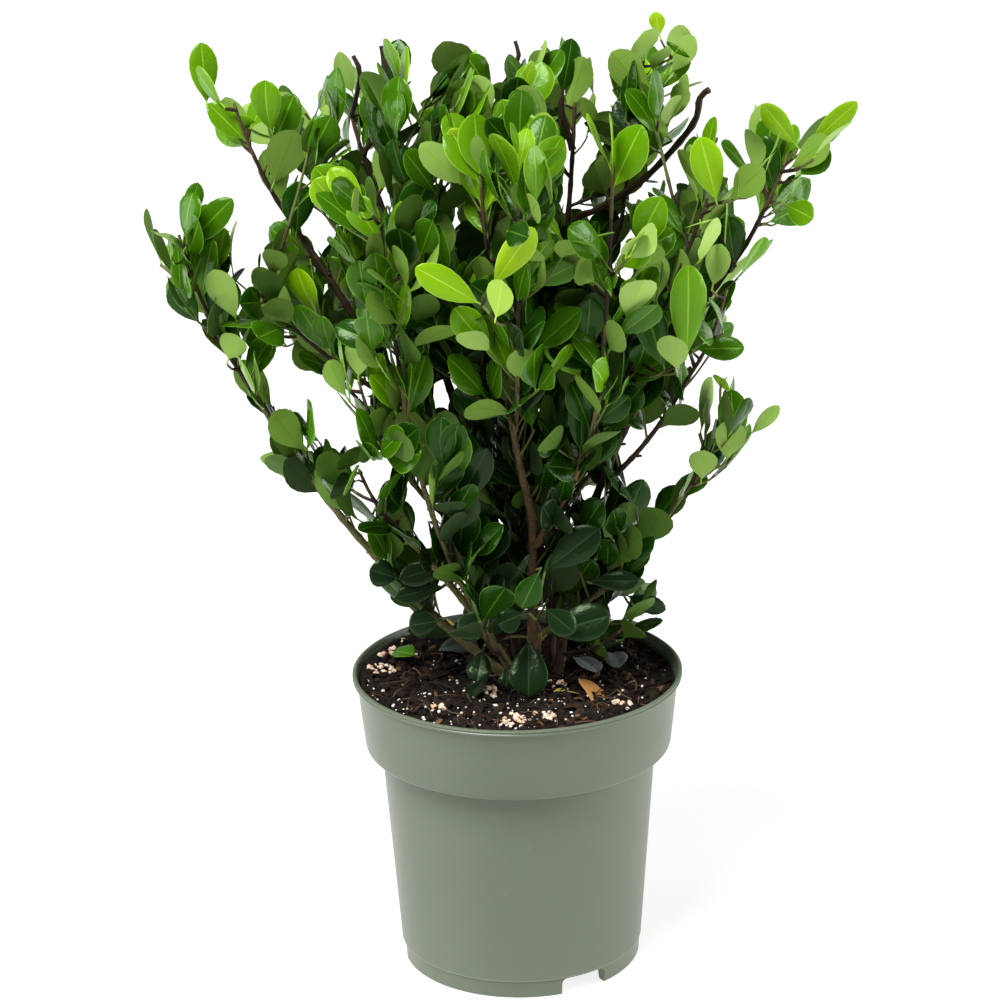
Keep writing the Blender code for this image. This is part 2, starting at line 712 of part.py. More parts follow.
def make_foliage(paths):
    """All masses of foliage, each in its own space."""
    shoots = {mass.name: shoot_path(mass, paths) for mass in MASSES}
    cells = [mass_cell(mass, shoots[mass.name]) for mass in MASSES]
    limbs = [samples(path) for path in paths.values()]
    for mass, cell in zip(MASSES, cells):
        others = [samples(shoot) for name, shoot in shoots.items() if name != mass.name]
        grow_mass(mass, shoots[mass.name], Space(cell, cells, limbs + others))


def make_limbs(paths):
    """All stems and boughs."""
    for stem in STEMS:
        add_object(stem.name, tube(paths[stem.name], LIMB_SIDES, stem.name), STEM_BARK)
    for bough in BOUGHS:
        add_object(bough.name, tube(paths[bough.name], LIMB_SIDES, bough.name), BOUGH_BARK)


def main():
    """Build the potted shrub."""
    clear_scene()
    make_pot()
    make_soil()
    paths = grow_limbs()
    make_limbs(paths)
    make_foliage(paths)


main()
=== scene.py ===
"""The looks of a japanese holly shrub in its nursery pot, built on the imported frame.

Everything is in metres with +Z up, and the front faces a viewer at -Y. Stems,
boughs and masses of foliage grow by the rule of the part's source, carried on
here to finer twigs and to leaves of the real size.
"""

import json
import logging
import math
import random
from collections import defaultdict
from dataclasses import dataclass, field
from enum import Enum

import bmesh
import bpy
import numpy as np
from mathutils import Matrix, Vector, noise
from mathutils.bvhtree import BVHTree

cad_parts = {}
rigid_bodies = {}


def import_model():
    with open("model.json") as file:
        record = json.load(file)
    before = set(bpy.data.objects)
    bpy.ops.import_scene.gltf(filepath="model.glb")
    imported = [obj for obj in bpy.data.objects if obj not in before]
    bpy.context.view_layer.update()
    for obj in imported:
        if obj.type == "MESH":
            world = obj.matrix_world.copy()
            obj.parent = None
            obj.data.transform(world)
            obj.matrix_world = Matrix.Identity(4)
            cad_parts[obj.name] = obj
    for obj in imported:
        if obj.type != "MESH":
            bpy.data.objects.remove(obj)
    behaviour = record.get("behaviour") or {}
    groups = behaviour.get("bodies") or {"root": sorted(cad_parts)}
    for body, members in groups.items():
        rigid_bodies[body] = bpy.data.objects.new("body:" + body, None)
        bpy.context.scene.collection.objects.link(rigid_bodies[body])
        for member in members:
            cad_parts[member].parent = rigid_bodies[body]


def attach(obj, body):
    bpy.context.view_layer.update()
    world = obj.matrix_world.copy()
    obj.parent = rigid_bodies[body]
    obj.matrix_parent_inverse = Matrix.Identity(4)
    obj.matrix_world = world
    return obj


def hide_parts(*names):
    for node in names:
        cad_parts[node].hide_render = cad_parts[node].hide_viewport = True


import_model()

MM = 0.001
UP = Vector((0.0, 0.0, 1.0))
GOLDEN_ANGLE = math.radians(137.5)
BODY = "root"
Colour = tuple[float, float, float]

logging.basicConfig(level=logging.INFO, format="%(message)s")
log = logging.getLogger("shrub")


# The growth tables, in degrees from +X and millimetres from the pot's axis and underside

class Bark(Enum):
    """Kinds of bark on the limbs, by age."""

    TAN = "tan"
    OLIVE = "olive"
    DARK = "dark"


@dataclass(frozen=True)
class Stem:
    """A stem that rises from the collar."""

    name: str
    foot: float | None
    azimuth: float
    reach: float
    height: float
    bow: float
    thick: float
    thin: float
    bark: Bark


@dataclass(frozen=True)
class Bough:
    """A bough that leaves a stem or another bough."""

    name: str
    parent: str
    along: float
    azimuth: float
    reach: float
    height: float
    bow: float
    thick: float
    thin: float
    bark: Bark


@dataclass(frozen=True)
class Mass:
    """A mass of foliage on the tip or the side of one limb."""

    name: str
    limb: str
    length: float
    girth: float
    along: float = 1.0
    azimuth: float = 0.0
    lift: float = 0.0


STEMS = (
    Stem("stem_center", None, 0, 9, 240, 0.0, 3.0, 2.3, Bark.TAN),
    Stem("stem_left_low", 196, 186, 129, 312, 0.045, 2.6, 1.4, Bark.OLIVE),
    Stem("stem_left_high", 158, 172, 104, 384, -0.04, 3.0, 1.5, Bark.DARK),
    Stem("stem_back_left", 118, 138, 84, 384, -0.03, 2.8, 1.5, Bark.DARK),
    Stem("stem_back", 80, 98, 80, 380, -0.03, 2.8, 1.5, Bark.DARK),
    Stem("stem_back_right", 42, 56, 52, 378, -0.03, 2.8, 1.5, Bark.DARK),
    Stem("stem_right", 2, 0, 97, 353, -0.07, 2.8, 1.5, Bark.DARK),
    Stem("stem_front_left", 238, 207, 62, 241, -0.03, 2.6, 1.4, Bark.OLIVE),
)

BOUGHS = (
    Bough("bough_left_top", "stem_left_high", 0.76, 160, 92, 386, 0.04, 1.5, 1.1, Bark.DARK),
    Bough("bough_left_mid", "stem_left_high", 0.66, 184, 106, 342, 0.03, 1.4, 1.0, Bark.DARK),
    Bough("bough_left_near", "stem_left_high", 0.40, 207, 68, 286, 0.04, 1.4, 1.0, Bark.OLIVE),
    Bough("bough_front_left", "stem_front_left", 0.55, 228, 82, 340, 0.06, 1.5, 1.1, Bark.OLIVE),
    Bough("bough_center_left", "stem_center", 1.0, 262, 45, 345, 0.03, 2.1, 1.2, Bark.TAN),
    Bough("bough_center_right", "stem_center", 0.88, 326, 60, 330, 0.04, 1.9, 1.2, Bark.TAN),
    Bough("bough_right_low", "stem_center", 0.42, 349, 86, 256, 0.05, 1.5, 1.0, Bark.OLIVE),
    Bough("bough_right_mid", "stem_right", 0.55, 350, 88, 316, 0.04, 1.4, 1.0, Bark.DARK),
    Bough("bough_right_high", "bough_center_right", 0.80, 336, 92, 384, 0.04, 1.3, 1.0, Bark.DARK),
    Bough("bough_right_top", "stem_back_right", 0.86, 30, 68, 404, 0.12, 1.4, 1.0, Bark.DARK),
    Bough("bough_front", "bough_center_left", 0.55, 272, 84, 372, 0.10, 1.4, 1.0, Bark.OLIVE),
    Bough("bough_front_right", "bough_center_right", 0.50, 302, 84, 362, 0.10, 1.4, 1.0, Bark.OLIVE),
    Bough("bough_back_low", "stem_back", 0.42, 96, 84, 292, 0.05, 1.5, 1.1, Bark.DARK),
    Bough("bough_back_left_low", "stem_back_left", 0.42, 150, 92, 290, 0.05, 1.5, 1.1, Bark.DARK),
    Bough("bough_back_right_low", "stem_back_right", 0.42, 40, 88, 292, 0.05, 1.5, 1.1, Bark.DARK),
)

MASSES = (
    Mass("foliage_left_low", "stem_left_low", 108, 24),
    Mass("foliage_left_high", "stem_left_high", 100, 26),
    Mass("foliage_back_left", "stem_back_left", 96, 40),
    Mass("foliage_back", "stem_back", 98, 40),
    Mass("foliage_back_right", "stem_back_right", 98, 40),
    Mass("foliage_right_arm", "stem_right", 124, 26),
    Mass("foliage_front_left_low", "stem_front_left", 60, 34),
    Mass("foliage_left_top", "bough_left_top", 92, 36),
    Mass("foliage_left_mid", "bough_left_mid", 58, 26),
    Mass("foliage_left_near", "bough_left_near", 60, 32),
    Mass("foliage_front_left", "bough_front_left", 100, 40),
    Mass("foliage_center_left", "bough_center_left", 110, 40),
    Mass("foliage_center_right", "bough_center_right", 110, 40),
    Mass("foliage_right_low", "bough_right_low", 58, 22),
    Mass("foliage_right_mid", "bough_right_mid", 64, 22),
    Mass("foliage_right_high", "bough_right_high", 88, 38),
    Mass("foliage_right_top", "bough_right_top", 96, 24),
    Mass("foliage_front", "bough_front", 96, 42),
    Mass("foliage_front_right", "bough_front_right", 100, 42),
    Mass("foliage_back_low", "bough_back_low", 78, 40),
    Mass("foliage_back_left_low", "bough_back_left_low", 78, 40),
    Mass("foliage_back_right_low", "bough_back_right_low", 80, 40),
    Mass("foliage_core_low", "stem_back", 74, 38, 0.30, 250, 55),
    Mass("foliage_core_left", "stem_left_high", 96, 38, 0.56, 75, 62),
    Mass("foliage_core_right", "stem_right", 90, 38, 0.62, 120, 64),
    Mass("foliage_core_top", "stem_back_right", 100, 40, 0.72, 250, 60),
    Mass("foliage_front_left_high", "bough_center_left", 120, 40, 0.62, 200, 60),
    Mass("foliage_left_arm", "stem_left_low", 50, 24, 0.70, 120, 60),
    Mass("foliage_foot_front", "stem_center", 60, 34, 0.30, 275, 22),
    Mass("foliage_foot_left", "stem_front_left", 60, 34, 0.35, 255, 26),
    Mass("foliage_foot_right", "stem_right", 60, 34, 0.14, 335, 20),
    Mass("foliage_foot_back", "stem_back", 56, 34, 0.12, 20, 24),
    Mass("foliage_foot_far_left", "stem_left_low", 56, 34, 0.22, 150, 30),
    Mass("foliage_right_back", "stem_right", 96, 40, 0.80, 62, 50),
    Mass("foliage_right_base", "bough_right_low", 80, 34, 0.40, 40, 62),
)

# The crown's reach at each height, read in the reference's frame: pixel row, left and right columns
OUTLINE = (
    (5, 655, 666), (20, 643, 703), (45, 190, 698), (62, 189, 690), (90, 193, 712), (104, 195, 856),
    (120, 204, 845), (138, 202, 828), (150, 228, 829), (165, 238, 827), (180, 243, 800), (186, 173, 794),
    (206, 144, 812), (221, 150, 812), (235, 150, 771), (262, 160, 749), (280, 170, 732), (298, 170, 718),
    (304, 172, 736), (317, 182, 736), (326, 200, 714), (338, 207, 740), (365, 222, 742), (375, 230, 741),
    (385, 241, 724), (395, 250, 735), (408, 261, 778), (425, 270, 764), (438, 268, 750), (449, 259, 742),
    (470, 277, 724), (492, 279, 692), (500, 328, 682), (530, 375, 669), (555, 370, 646), (570, 367, 645),
    (580, 370, 655), (600, 397, 657), (612, 408, 666), (650, 408, 642),
)

# The crown's top from left to right, read in the same frame: pixel column and row
TOP_LINE = (
    (144, 208), (156, 226), (167, 222), (172, 188), (187, 200), (189, 64), (203, 45), (218, 60), (220, 98),
    (232, 82), (250, 70), (267, 97), (296, 81), (300, 107), (320, 104), (322, 64), (341, 50), (369, 54),
    (375, 80), (379, 80), (381, 45), (397, 38), (407, 45), (409, 100), (417, 112), (431, 76), (433, 55),
    (457, 52), (494, 58), (496, 122), (500, 122), (502, 70), (515, 40), (526, 58), (528, 44), (551, 39),
    (569, 38), (588, 46), (599, 74), (601, 132), (607, 132), (616, 52), (643, 51), (646, 18), (660, 1),
    (675, 14), (702, 16), (704, 88), (711, 90), (714, 133), (731, 137), (735, 150), (743, 160), (746, 146),
    (751, 116), (764, 105), (793, 126), (800, 137), (829, 113), (856, 103),
)

# Windows of sky through the crown, read in the same frame: column, row, half width and half height
SKY_WINDOWS = (
    (250, 208, 21, 22), (250, 240, 17, 16), (243, 262, 8, 9), (212, 190, 12, 8), (299, 180, 10, 7),
    (282, 188, 5, 8), (315, 228, 10, 18), (338, 216, 6, 7), (331, 138, 5, 10), (251, 300, 5, 8),
    (407, 135, 7, 11), (462, 240, 9, 8), (547, 82, 5, 10), (502, 225, 8, 6), (577, 168, 12, 8),
    (574, 187, 7, 11), (590, 152, 8, 12), (673, 176, 10, 6), (682, 186, 6, 10), (645, 191, 6, 8),
    (729, 170, 9, 10), (752, 222, 8, 9), (787, 170, 4, 10), (628, 273, 8, 8), (641, 446, 18, 14),
    (631, 465, 9, 8), (656, 410, 9, 8), (593, 494, 11, 6), (645, 498, 8, 5), (647, 521, 8, 7),
    (619, 605, 8, 10), (667, 479, 8, 7), (681, 461, 8, 16), (696, 436, 10, 8), (700, 362, 9, 12),
    (692, 391, 6, 12), (535, 416, 5, 9), (591, 418, 6, 5), (487, 430, 4, 9), (443, 388, 11, 12),
    (362, 392, 11, 12), (394, 359, 5, 5), (338, 428, 22, 18), (307, 383, 11, 10), (274, 368, 10, 18),
    (290, 401, 17, 9), (382, 470, 10, 8), (365, 487, 12, 7), (418, 490, 14, 13), (424, 526, 11, 13),
    (411, 557, 6, 7), (452, 592, 13, 7), (450, 608, 8, 8),
)

# Stretches of limb and shoot that show bare from the front, as shares of their length
BARE_LIMBS = (
    ("stem_left_high", 0.86, 1.0), ("foliage_left_high", 0.0, 0.28), ("foliage_left_high", 0.42, 0.85),
    ("foliage_back_left", 0.10, 0.46), ("foliage_back_left", 0.62, 0.95), ("foliage_back_right", 0.0, 0.42),
    ("foliage_back_right", 0.55, 0.88), ("bough_right_top", 0.55, 0.95), ("foliage_right_arm", 0.0, 0.36),
    ("foliage_right_arm", 0.46, 0.82), ("bough_right_high", 0.78, 1.0), ("foliage_right_high", 0.0, 0.42),
    ("foliage_center_left", 0.58, 0.90), ("bough_center_left", 0.05, 0.50), ("stem_center", 0.30, 0.95),
    ("cut_right", 0.22, 0.92),
)

# Pruned limbs that end in a plain cut: name, points as pixel column, row and depth in millimetres, and radius
CUT_LIMBS = (
    ("cut_right", (
        (575, 222, 38), (600, 208, 34), (646, 177, 32), (692, 126, 30), (700, 98, 30), (709, 90, 28),
    ), 1.7),
    ("cut_left", ((386, 108, 60), (382, 46, 62)), 1.5), ("cut_far_left", ((360, 75, 45), (353, 56, 45)), 1.3),
    ("cut_back", ((516, 66, 70), (515, 41, 70)), 1.1), ("cut_center", ((561, 110, 50), (561, 90, 52)), 1.9),
)

# Tips of the inner shoots that fill the crown's middle, in millimetres
INNER_TIPS = (
    (-58, -22, 462), (-26, -30, 460), (6, -34, 462), (38, -26, 466), (68, -12, 462), (88, -14, 436),
    (-96, -24, 440), (-34, 22, 466), (12, 16, 468), (52, 12, 470), (-78, 8, 464), (20, -66, 448),
)

# Leaves that droop low over the soil: x, y and height in millimetres, azimuth, tilt and length
LOW_LEAVES = (
    (6, -16, 181, 268, -50, 31), (-17, -10, 174, 255, -38, 20), (-5, -18, 168, 262, -50, 13),
)


# Finishes

class Material:
    """Writes the nodes of one procedural material."""

    def __init__(self, name: str) -> None:
        """Start a material with one Principled shader and Object coordinates.

        Args:
            name: The material's name.
        """
        self.material = bpy.data.materials.new(name)
        self.material.use_nodes = True
        self.tree = self.material.node_tree
        self.shader = self.tree.nodes["Principled BSDF"]
        self.place = self.tree.nodes.new("ShaderNodeTexCoord").outputs["Object"]

    def node(self, kind: str, **inputs: object) -> bpy.types.Node:
        """Add a node and set or link its inputs by name.

        Args:
            kind: The node's type without the word ShaderNode.
            inputs: Values or output sockets by input name, with _ for a space.

        Returns:
            The new node.
        """
        made = self.tree.nodes.new(f"ShaderNode{kind}")
        for name, value in inputs.items():
            socket = made.inputs[name.replace("_", " ")]
            if isinstance(value, bpy.types.NodeSocket):
                self.tree.links.new(value, socket)
            else:
                socket.default_value = value
        return made

    def stretched(self, scale: Colour, place: bpy.types.NodeSocket | None = None) -> bpy.types.NodeSocket:
        """Coordinates stretched by a factor along each axis."""
        mapping = self.node("Mapping", Vector=place or self.place, Scale=scale)
        return mapping.outputs["Vector"]

    def noise(self, scale: float, detail: float = 3.0, rough: float = 0.55,
              place: bpy.types.NodeSocket | None = None) -> bpy.types.NodeSocket:
        """A noise pattern between 0 and 1."""
        made = self.node("TexNoise", Vector=place or self.place, Scale=scale, Detail=detail, Roughness=rough)
        return made.outputs["Fac"]

    def ramp(self, value: bpy.types.NodeSocket, low: float, high: float,
             start: float = 0.0, end: float = 1.0) -> bpy.types.NodeSocket:
        """Map a value from low..high to start..end, and hold it at the ends."""
        made = self.node("MapRange", Value=value, From_Min=low, From_Max=high, To_Min=start, To_Max=end)
        return made.outputs["Result"]

    def blend(self, share: bpy.types.NodeSocket, first: object, second: object) -> bpy.types.NodeSocket:
        """Blend two colours by a share.

        Args:
            share: 0 gives the first and 1 the second.
            first: A colour, or a socket that gives one.
            second: A colour, or a socket that gives one.

        Returns:
            The blended colour.
        """
        made = self.tree.nodes.new("ShaderNodeMix")
        made.data_type = "RGBA"
        self.tree.links.new(share, made.inputs["Factor"])
        for socket, colour in ((made.inputs[6], first), (made.inputs[7], second)):
            if isinstance(colour, bpy.types.NodeSocket):
                self.tree.links.new(colour, socket)
            else:
                socket.default_value = (*colour, 1.0)
        return made.outputs[2]

    def colour(self, value: object) -> None:
        """Set or link the base colour."""
        self.assign("Base Color", value)

    def assign(self, name: str, value: object) -> None:
        """Set or link one of the shader's inputs.

        Args:
            name: The input's name.
            value: A number, a colour or a socket.
        """
        socket = self.shader.inputs[name]
        if isinstance(value, bpy.types.NodeSocket):
            self.tree.links.new(value, socket)
        elif isinstance(value, tuple):
            socket.default_value = (*value, 1.0)
        else:
            socket.default_value = value

    def relief(self, height: bpy.types.NodeSocket, depth: float, strength: float = 1.0) -> None:
        """Bump the surface by a height pattern."""
        bump = self.node("Bump", Height=height, Distance=depth, Strength=strength)
        self.assign("Normal", bump.outputs["Normal"])


@dataclass(frozen=True)
class PotFinish:
    """Satin sage plastic with faint flow marks, scuffs, a dusty rim and thin painted highlight lines along
    the edge above the foot, the band's lower edge and the lip's lower edge.
    """

    sage: Colour = (0.113, 0.139, 0.091)
    deep: Colour = (0.099, 0.124, 0.080)
    # Paler colour of the scuffs, also used for the painted highlight lines
    wear_and_highlight: Colour = (0.24, 0.27, 0.205)
    dust: Colour = (0.05, 0.04, 0.025)
    roughness: float = 0.36
    rim_height: float = 154.5 * MM
    # Heights and half width of the painted highlight lines along the edges
    painted_highlight_heights: tuple[float, ...] = (118.3 * MM, 9.9 * MM, 155.0 * MM)
    painted_highlight_width: float = 0.55 * MM

    def make(self) -> bpy.types.Material:
        """Build the material."""
        kit = Material("pot_plastic")
        flow = kit.noise(9.0, 3.0, place=kit.stretched((1.0, 1.0, 0.25)))
        base = kit.blend(kit.ramp(flow, 0.35, 0.65), self.deep, self.sage)
        scuffs = kit.noise(60.0, 5.0, 0.75)
        base = kit.blend(kit.ramp(scuffs, 0.62, 0.8, 0.0, 0.22), base, self.wear_and_highlight)
        height = kit.node("SeparateXYZ", Vector=kit.place).outputs["Z"]
        # Painted highlights: thin lighter lines at three edge heights, where light catches the edges
        for edge in self.painted_highlight_heights:
            away = kit.node("Math", Value=height)
            away.operation = "SUBTRACT"
            away.inputs[1].default_value = edge
            size = kit.node("Math", Value=away.outputs["Value"])
            size.operation = "ABSOLUTE"
            painted_highlight = kit.ramp(size.outputs["Value"], 0.0, self.painted_highlight_width, 0.55, 0.0)
            base = kit.blend(painted_highlight, base, self.wear_and_highlight)
        near_rim = kit.ramp(height, self.rim_height, 158.5 * MM)
        specks = kit.ramp(kit.noise(900.0, 2.0, 0.5), 0.66, 0.72)
        soiled = kit.node("Math", Value=near_rim)
        soiled.operation = "MULTIPLY"
        kit.tree.links.new(specks, soiled.inputs[1])
        base = kit.blend(soiled.outputs["Value"], base, self.dust)
        kit.colour(base)
        kit.assign("Roughness", kit.ramp(flow, 0.3, 0.7, self.roughness - 0.05, self.roughness + 0.06))
        grain = kit.noise(1500.0, 2.0, 0.6)
        kit.relief(grain, 0.05 * MM, 0.5)
        return kit.material


@dataclass(frozen=True)
class EarthFinish:
    """Moist potting mix: near-black brown with paler fibres and grains."""

    name: str = "soil_earth"
    dark: Colour = (0.004, 0.0025, 0.0016)
    light: Colour = (0.015, 0.008, 0.0045)
    roughness: float = 0.85

    def make(self) -> bpy.types.Material:
        """Build the material."""
        kit = Material(self.name)
        lumps = kit.noise(260.0, 5.0, 0.7)
        kit.colour(kit.blend(kit.ramp(lumps, 0.4, 0.68), self.dark, self.light))
        kit.assign("Roughness", kit.ramp(lumps, 0.3, 0.7, self.roughness - 0.2, 1.0))
        kit.assign("Specular IOR Level", 0.25)
        kit.relief(kit.noise(700.0, 5.0, 0.75), 1.2 * MM, 0.9)
        return kit.material


@dataclass(frozen=True)
class PlainFinish:
    """A plain tint of grit or twig bark with its own relief."""

    name: str
    tint: Colour
    roughness: float = 0.8
    grain: float = 1500.0
    octaves: float = 3.0
    depth: float = 0.3 * MM
    strength: float = 0.7

    def make(self) -> bpy.types.Material:
        """Build the material."""
        kit = Material(self.name)
        kit.colour(self.tint)
        kit.assign("Roughness", self.roughness)
        kit.assign("Specular IOR Level", 0.2)
        kit.relief(kit.noise(self.grain, self.octaves, 0.6), self.depth, self.strength)
        return kit.material


@dataclass(frozen=True)
class BarkFinish:
    """Bark with streaks along the limb and pale pores, on the limb's own attribute."""

    name: str
    dark: Colour
    light: Colour
    pores: Colour
    roughness: float = 0.68

    def make(self) -> bpy.types.Material:
        """Build the material."""
        kit = Material(self.name)
        grain = kit.node("Attribute")
        grain.attribute_name = LimbBark.GRAIN
        along = kit.stretched((1.0, 1.0, 0.22), grain.outputs["Vector"])
        streaks = kit.noise(950.0, 4.0, 0.65, along)
        patches = kit.noise(90.0, 2.0, 0.5)
        base = kit.blend(kit.ramp(streaks, 0.34, 0.66), self.dark, self.light)
        base = kit.blend(kit.ramp(patches, 0.45, 0.62, 0.0, 0.55), base, self.dark)
        spots = kit.noise(1300.0, 1.0, 0.4, kit.stretched((1.0, 1.0, 0.6), grain.outputs["Vector"]))
        base = kit.blend(kit.ramp(spots, 0.69, 0.74), base, self.pores)
        kit.colour(base)
        kit.assign("Roughness", kit.ramp(streaks, 0.3, 0.7, self.roughness - 0.1, self.roughness + 0.12))
        kit.assign("Specular IOR Level", 0.2)
        kit.relief(streaks, 0.25 * MM, 0.8)
        return kit.material


class LeafPart(Enum):
    """The parts of a leaf that have a colour of their own."""

    BLADE = 0
    RIB = 1
    UNDERSIDE = 2


@dataclass(frozen=True)
class LeafTint:
    """One tint of leaf: glossy blade, pale rib and margin, matte underside."""

    name: str
    blade: Colour
    rib: Colour
    under: Colour
    gloss: float = 0.3
    shine: float = 0.27

    def make(self) -> list[bpy.types.Material]:
        """Build the materials of the leaf's parts, in the order of LeafPart."""
        return [
            self.part("blade", self.blade, self.gloss, 0.34 * MM),
            self.part("rib", self.rib, self.gloss + 0.1, 0.05 * MM),
            self.part("underside", self.under, 0.55, 0.12 * MM),
        ]

    def part(self, part: str, tint: Colour, roughness: float, depth: float) -> bpy.types.Material:
        """Build the material of one part.

        Args:
            part: The part's name.
            tint: Its plain base colour.
            roughness: Its roughness.
            depth: The depth of its fine relief in metres.

        Returns:
            The material.
        """
        kit = Material(f"leaf_{self.name}_{part}")
        kit.colour(tint)
        kit.assign("Roughness", roughness)
        kit.assign("Specular IOR Level", self.shine)
        kit.assign("Specular Tint", (0.75, 1.0, 0.6))
        kit.relief(kit.noise(420.0, 2.0, 0.5), depth, 0.7)
        return kit.material


class Tint(Enum):
    """Leaf tints from the shaded foot to the young tips. The dark tints are partly painted shade for leaves
    low and deep in the crown. The pale ones are partly painted light shining through the upper leaves,
    besides the real paler green of young leaves.
    """

    SHADE = LeafTint("shade", (0.006, 0.020, 0.005), (0.020, 0.050, 0.014), (0.026, 0.050, 0.016), 0.26)
    DEEP = LeafTint("deep", (0.010, 0.048, 0.0015), (0.050, 0.150, 0.008), (0.070, 0.140, 0.018), 0.22)
    MID = LeafTint("mid", (0.040, 0.135, 0.0015), (0.120, 0.280, 0.015), (0.165, 0.290, 0.040), 0.22)
    FRESH = LeafTint("fresh", (0.100, 0.255, 0.002), (0.220, 0.420, 0.025), (0.245, 0.400, 0.075), 0.24)
    BRIGHT = LeafTint("bright", (0.195, 0.400, 0.003), (0.340, 0.540, 0.040), (0.320, 0.490, 0.110), 0.26)
    YOUNG = LeafTint("young", (0.290, 0.480, 0.008), (0.420, 0.610, 0.060), (0.330, 0.520, 0.060), 0.28)


# Leaves that give the crown its outline and its foot, by tint and side shown. A row is read in the
# reference's frame: column, row and depth of the root, the same of the tip, and the width. Depths are
# guessed, as the reference gives none, and are in millimetres as the width is
SET_LEAVES = {
    (Tint.SHADE, 1): (
        (402, 580, -16, 372, 570, -20, 15), (545, 571, -30, 596, 531, -34, 18),
        (542, 606, -38, 574, 632, -42, 14), (529, 575, -34, 484, 544, -38, 18),
        (547, 634, -26, 607, 616, -28, 20), (527, 612, -38, 499, 624, -42, 14),
        (586, 581, -14, 637, 581, -16, 11), (623, 594, 0, 665, 611, -2, 10),
        (451, 565, -16, 401, 578, -18, 13), (447, 585, -14, 398, 597, -16, 11),
        (493, 606, -32, 460, 637, -36, 15), (443, 620, -14, 410, 626, -16, 15),
    ),
    (Tint.DEEP, 1): (
        (392, 97, 72, 398, 40, 78, 16), (560, 98, 62, 575, 41, 66, 14), (776, 196, -6, 759, 136, -2, 16),
        (541, 568, -38, 522, 607, -42, 15), (296, 237, 8, 300, 185, 6, 18),
        (202, 326, -14, 171, 288, -16, 15), (665, 371, -54, 645, 303, -58, 17),
        (735, 267, -12, 728, 218, -14, 16),
    ),
    (Tint.MID, 1): (
        (178, 247, -22, 175, 185, -16, 9), (186, 225, -10, 198, 184, -2, 10),
        (184, 250, -22, 228, 201, -26, 15), (672, 58, 22, 701, 15, 26, 15),
        (797, 178, -12, 827, 150, -18, 15), (692, 349, -22, 742, 348, -28, 13),
        (735, 452, -24, 733, 394, -26, 16), (455, 485, -46, 453, 428, -50, 20),
    ),
    (Tint.MID, -1): ((272, 188, 10, 294, 128, 6, 20),),
    (Tint.FRESH, 1): (
        (207, 107, 30, 202, 45, 34, 15), (237, 136, 20, 243, 87, 24, 17), (781, 202, -12, 812, 218, -14, 14),
        (686, 359, -52, 692, 271, -58, 20),
    ),
    (Tint.FRESH, -1): (
        (748, 437, -12, 778, 407, -8, 8), (726, 463, -26, 733, 422, -32, 16),
        (701, 483, -28, 704, 448, -34, 15), (227, 364, -26, 237, 333, -30, 15),
        (378, 194, 18, 398, 143, 12, 20), (657, 304, -46, 651, 253, -50, 17),
        (672, 141, 16, 638, 102, 12, 17),
    ),
    (Tint.BRIGHT, 1): (
        (807, 148, -8, 855, 103, -14, 11), (798, 148, -8, 764, 105, -12, 12),
        (721, 383, -22, 741, 365, -24, 12), (482, 305, -112, 422, 270, -124, 15),
        (717, 204, -46, 703, 141, -50, 17),
    ),
    (Tint.BRIGHT, -1): (
        (701, 228, -54, 696, 181, -58, 16), (712, 290, -34, 721, 246, -36, 14),
        (677, 373, -64, 671, 336, -70, 17),
    ),
    (Tint.YOUNG, 1): (
        (661, 40, 20, 655, 13, 20, 9), (491, 288, -118, 532, 229, -128, 15),
        (476, 160, -52, 450, 131, -56, 12),
    ),
    (Tint.YOUNG, -1): ((495, 322, -124, 504, 280, -132, 15), (536, 160, -62, 548, 114, -64, 16)),
}


@dataclass(frozen=True)
class FloorFinish:
    """A plain pale studio floor, lit softly from below as a light table is."""

    tint: Colour = (0.25, 0.25, 0.25)
    glow: float = 0.82

    def make(self) -> bpy.types.Material:
        """Build the material."""
        kit = Material("studio_floor")
        kit.colour(self.tint)
        kit.assign("Emission Color", (1.0, 1.0, 1.0))
        kit.assign("Emission Strength", self.glow)
        kit.assign("Roughness", 0.9)
        kit.assign("Specular IOR Level", 0.1)
        return kit.material


# Small things joined into pieces

@dataclass
class Batch:
    """Collects many small shapes and joins them into one mesh."""

    name: str
    materials: list[bpy.types.Material] = field(default_factory=list)
    verts: list[np.ndarray] = field(default_factory=list)
    faces: list[tuple[int, ...]] = field(default_factory=list)
    slots: list[int] = field(default_factory=list)
    count: int = 0

    def add(self, places: np.ndarray, faces: list[tuple[int, ...]], slots: list[int]) -> None:
        """Add one shape.

        Args:
            places: Its vertices, a row each.
            faces: Its faces as vertex numbers.
            slots: A material number for each face.
        """
        base = self.count
        self.verts.append(places)
        self.faces.extend(tuple(base + corner for corner in face) for face in faces)
        self.slots.extend(slots)
        self.count += len(places)

    def tube(self, points: list[Vector], radii: list[float], sides: int, slots: list[int]) -> None:
        """Add a closed tapering tube along a path.

        Args:
            points: The path.
            radii: The tube's radius at each point.
            sides: Sides of its rings.
            slots: A material number for each length between rings.
        """
        rings = ring_rows(points, radii, sides)
        faces: list[tuple[int, ...]] = [tuple(reversed(range(sides)))]
        kinds = [slots[0]]
        for index in range(len(points) - 1):
            low, high = index * sides, (index + 1) * sides
            for side in range(sides):
                after = (side + 1) % sides
                faces.append((low + side, low + after, high + after, high + side))
                kinds.append(slots[index])
        last = (len(points) - 1) * sides
        faces.append(tuple(last + side for side in range(sides)))
        kinds.append(slots[-1])
        self.add(rings.reshape(-1, 3), faces, kinds)

    def mesh(self, sharp: float = 60.0) -> bpy.types.Mesh:
        """Join everything into one smooth mesh with sharp creases.

        Args:
            sharp: Angle in degrees past which an edge is sharp.

        Returns:
            The mesh.
        """
        made = bpy.data.meshes.new(self.name)
        made.from_pydata(np.vstack(self.verts).tolist(), [], self.faces)
        made.polygons.foreach_set("material_index", self.slots)
        for material in self.materials:
            made.materials.append(material)
        return creased(made, sharp)


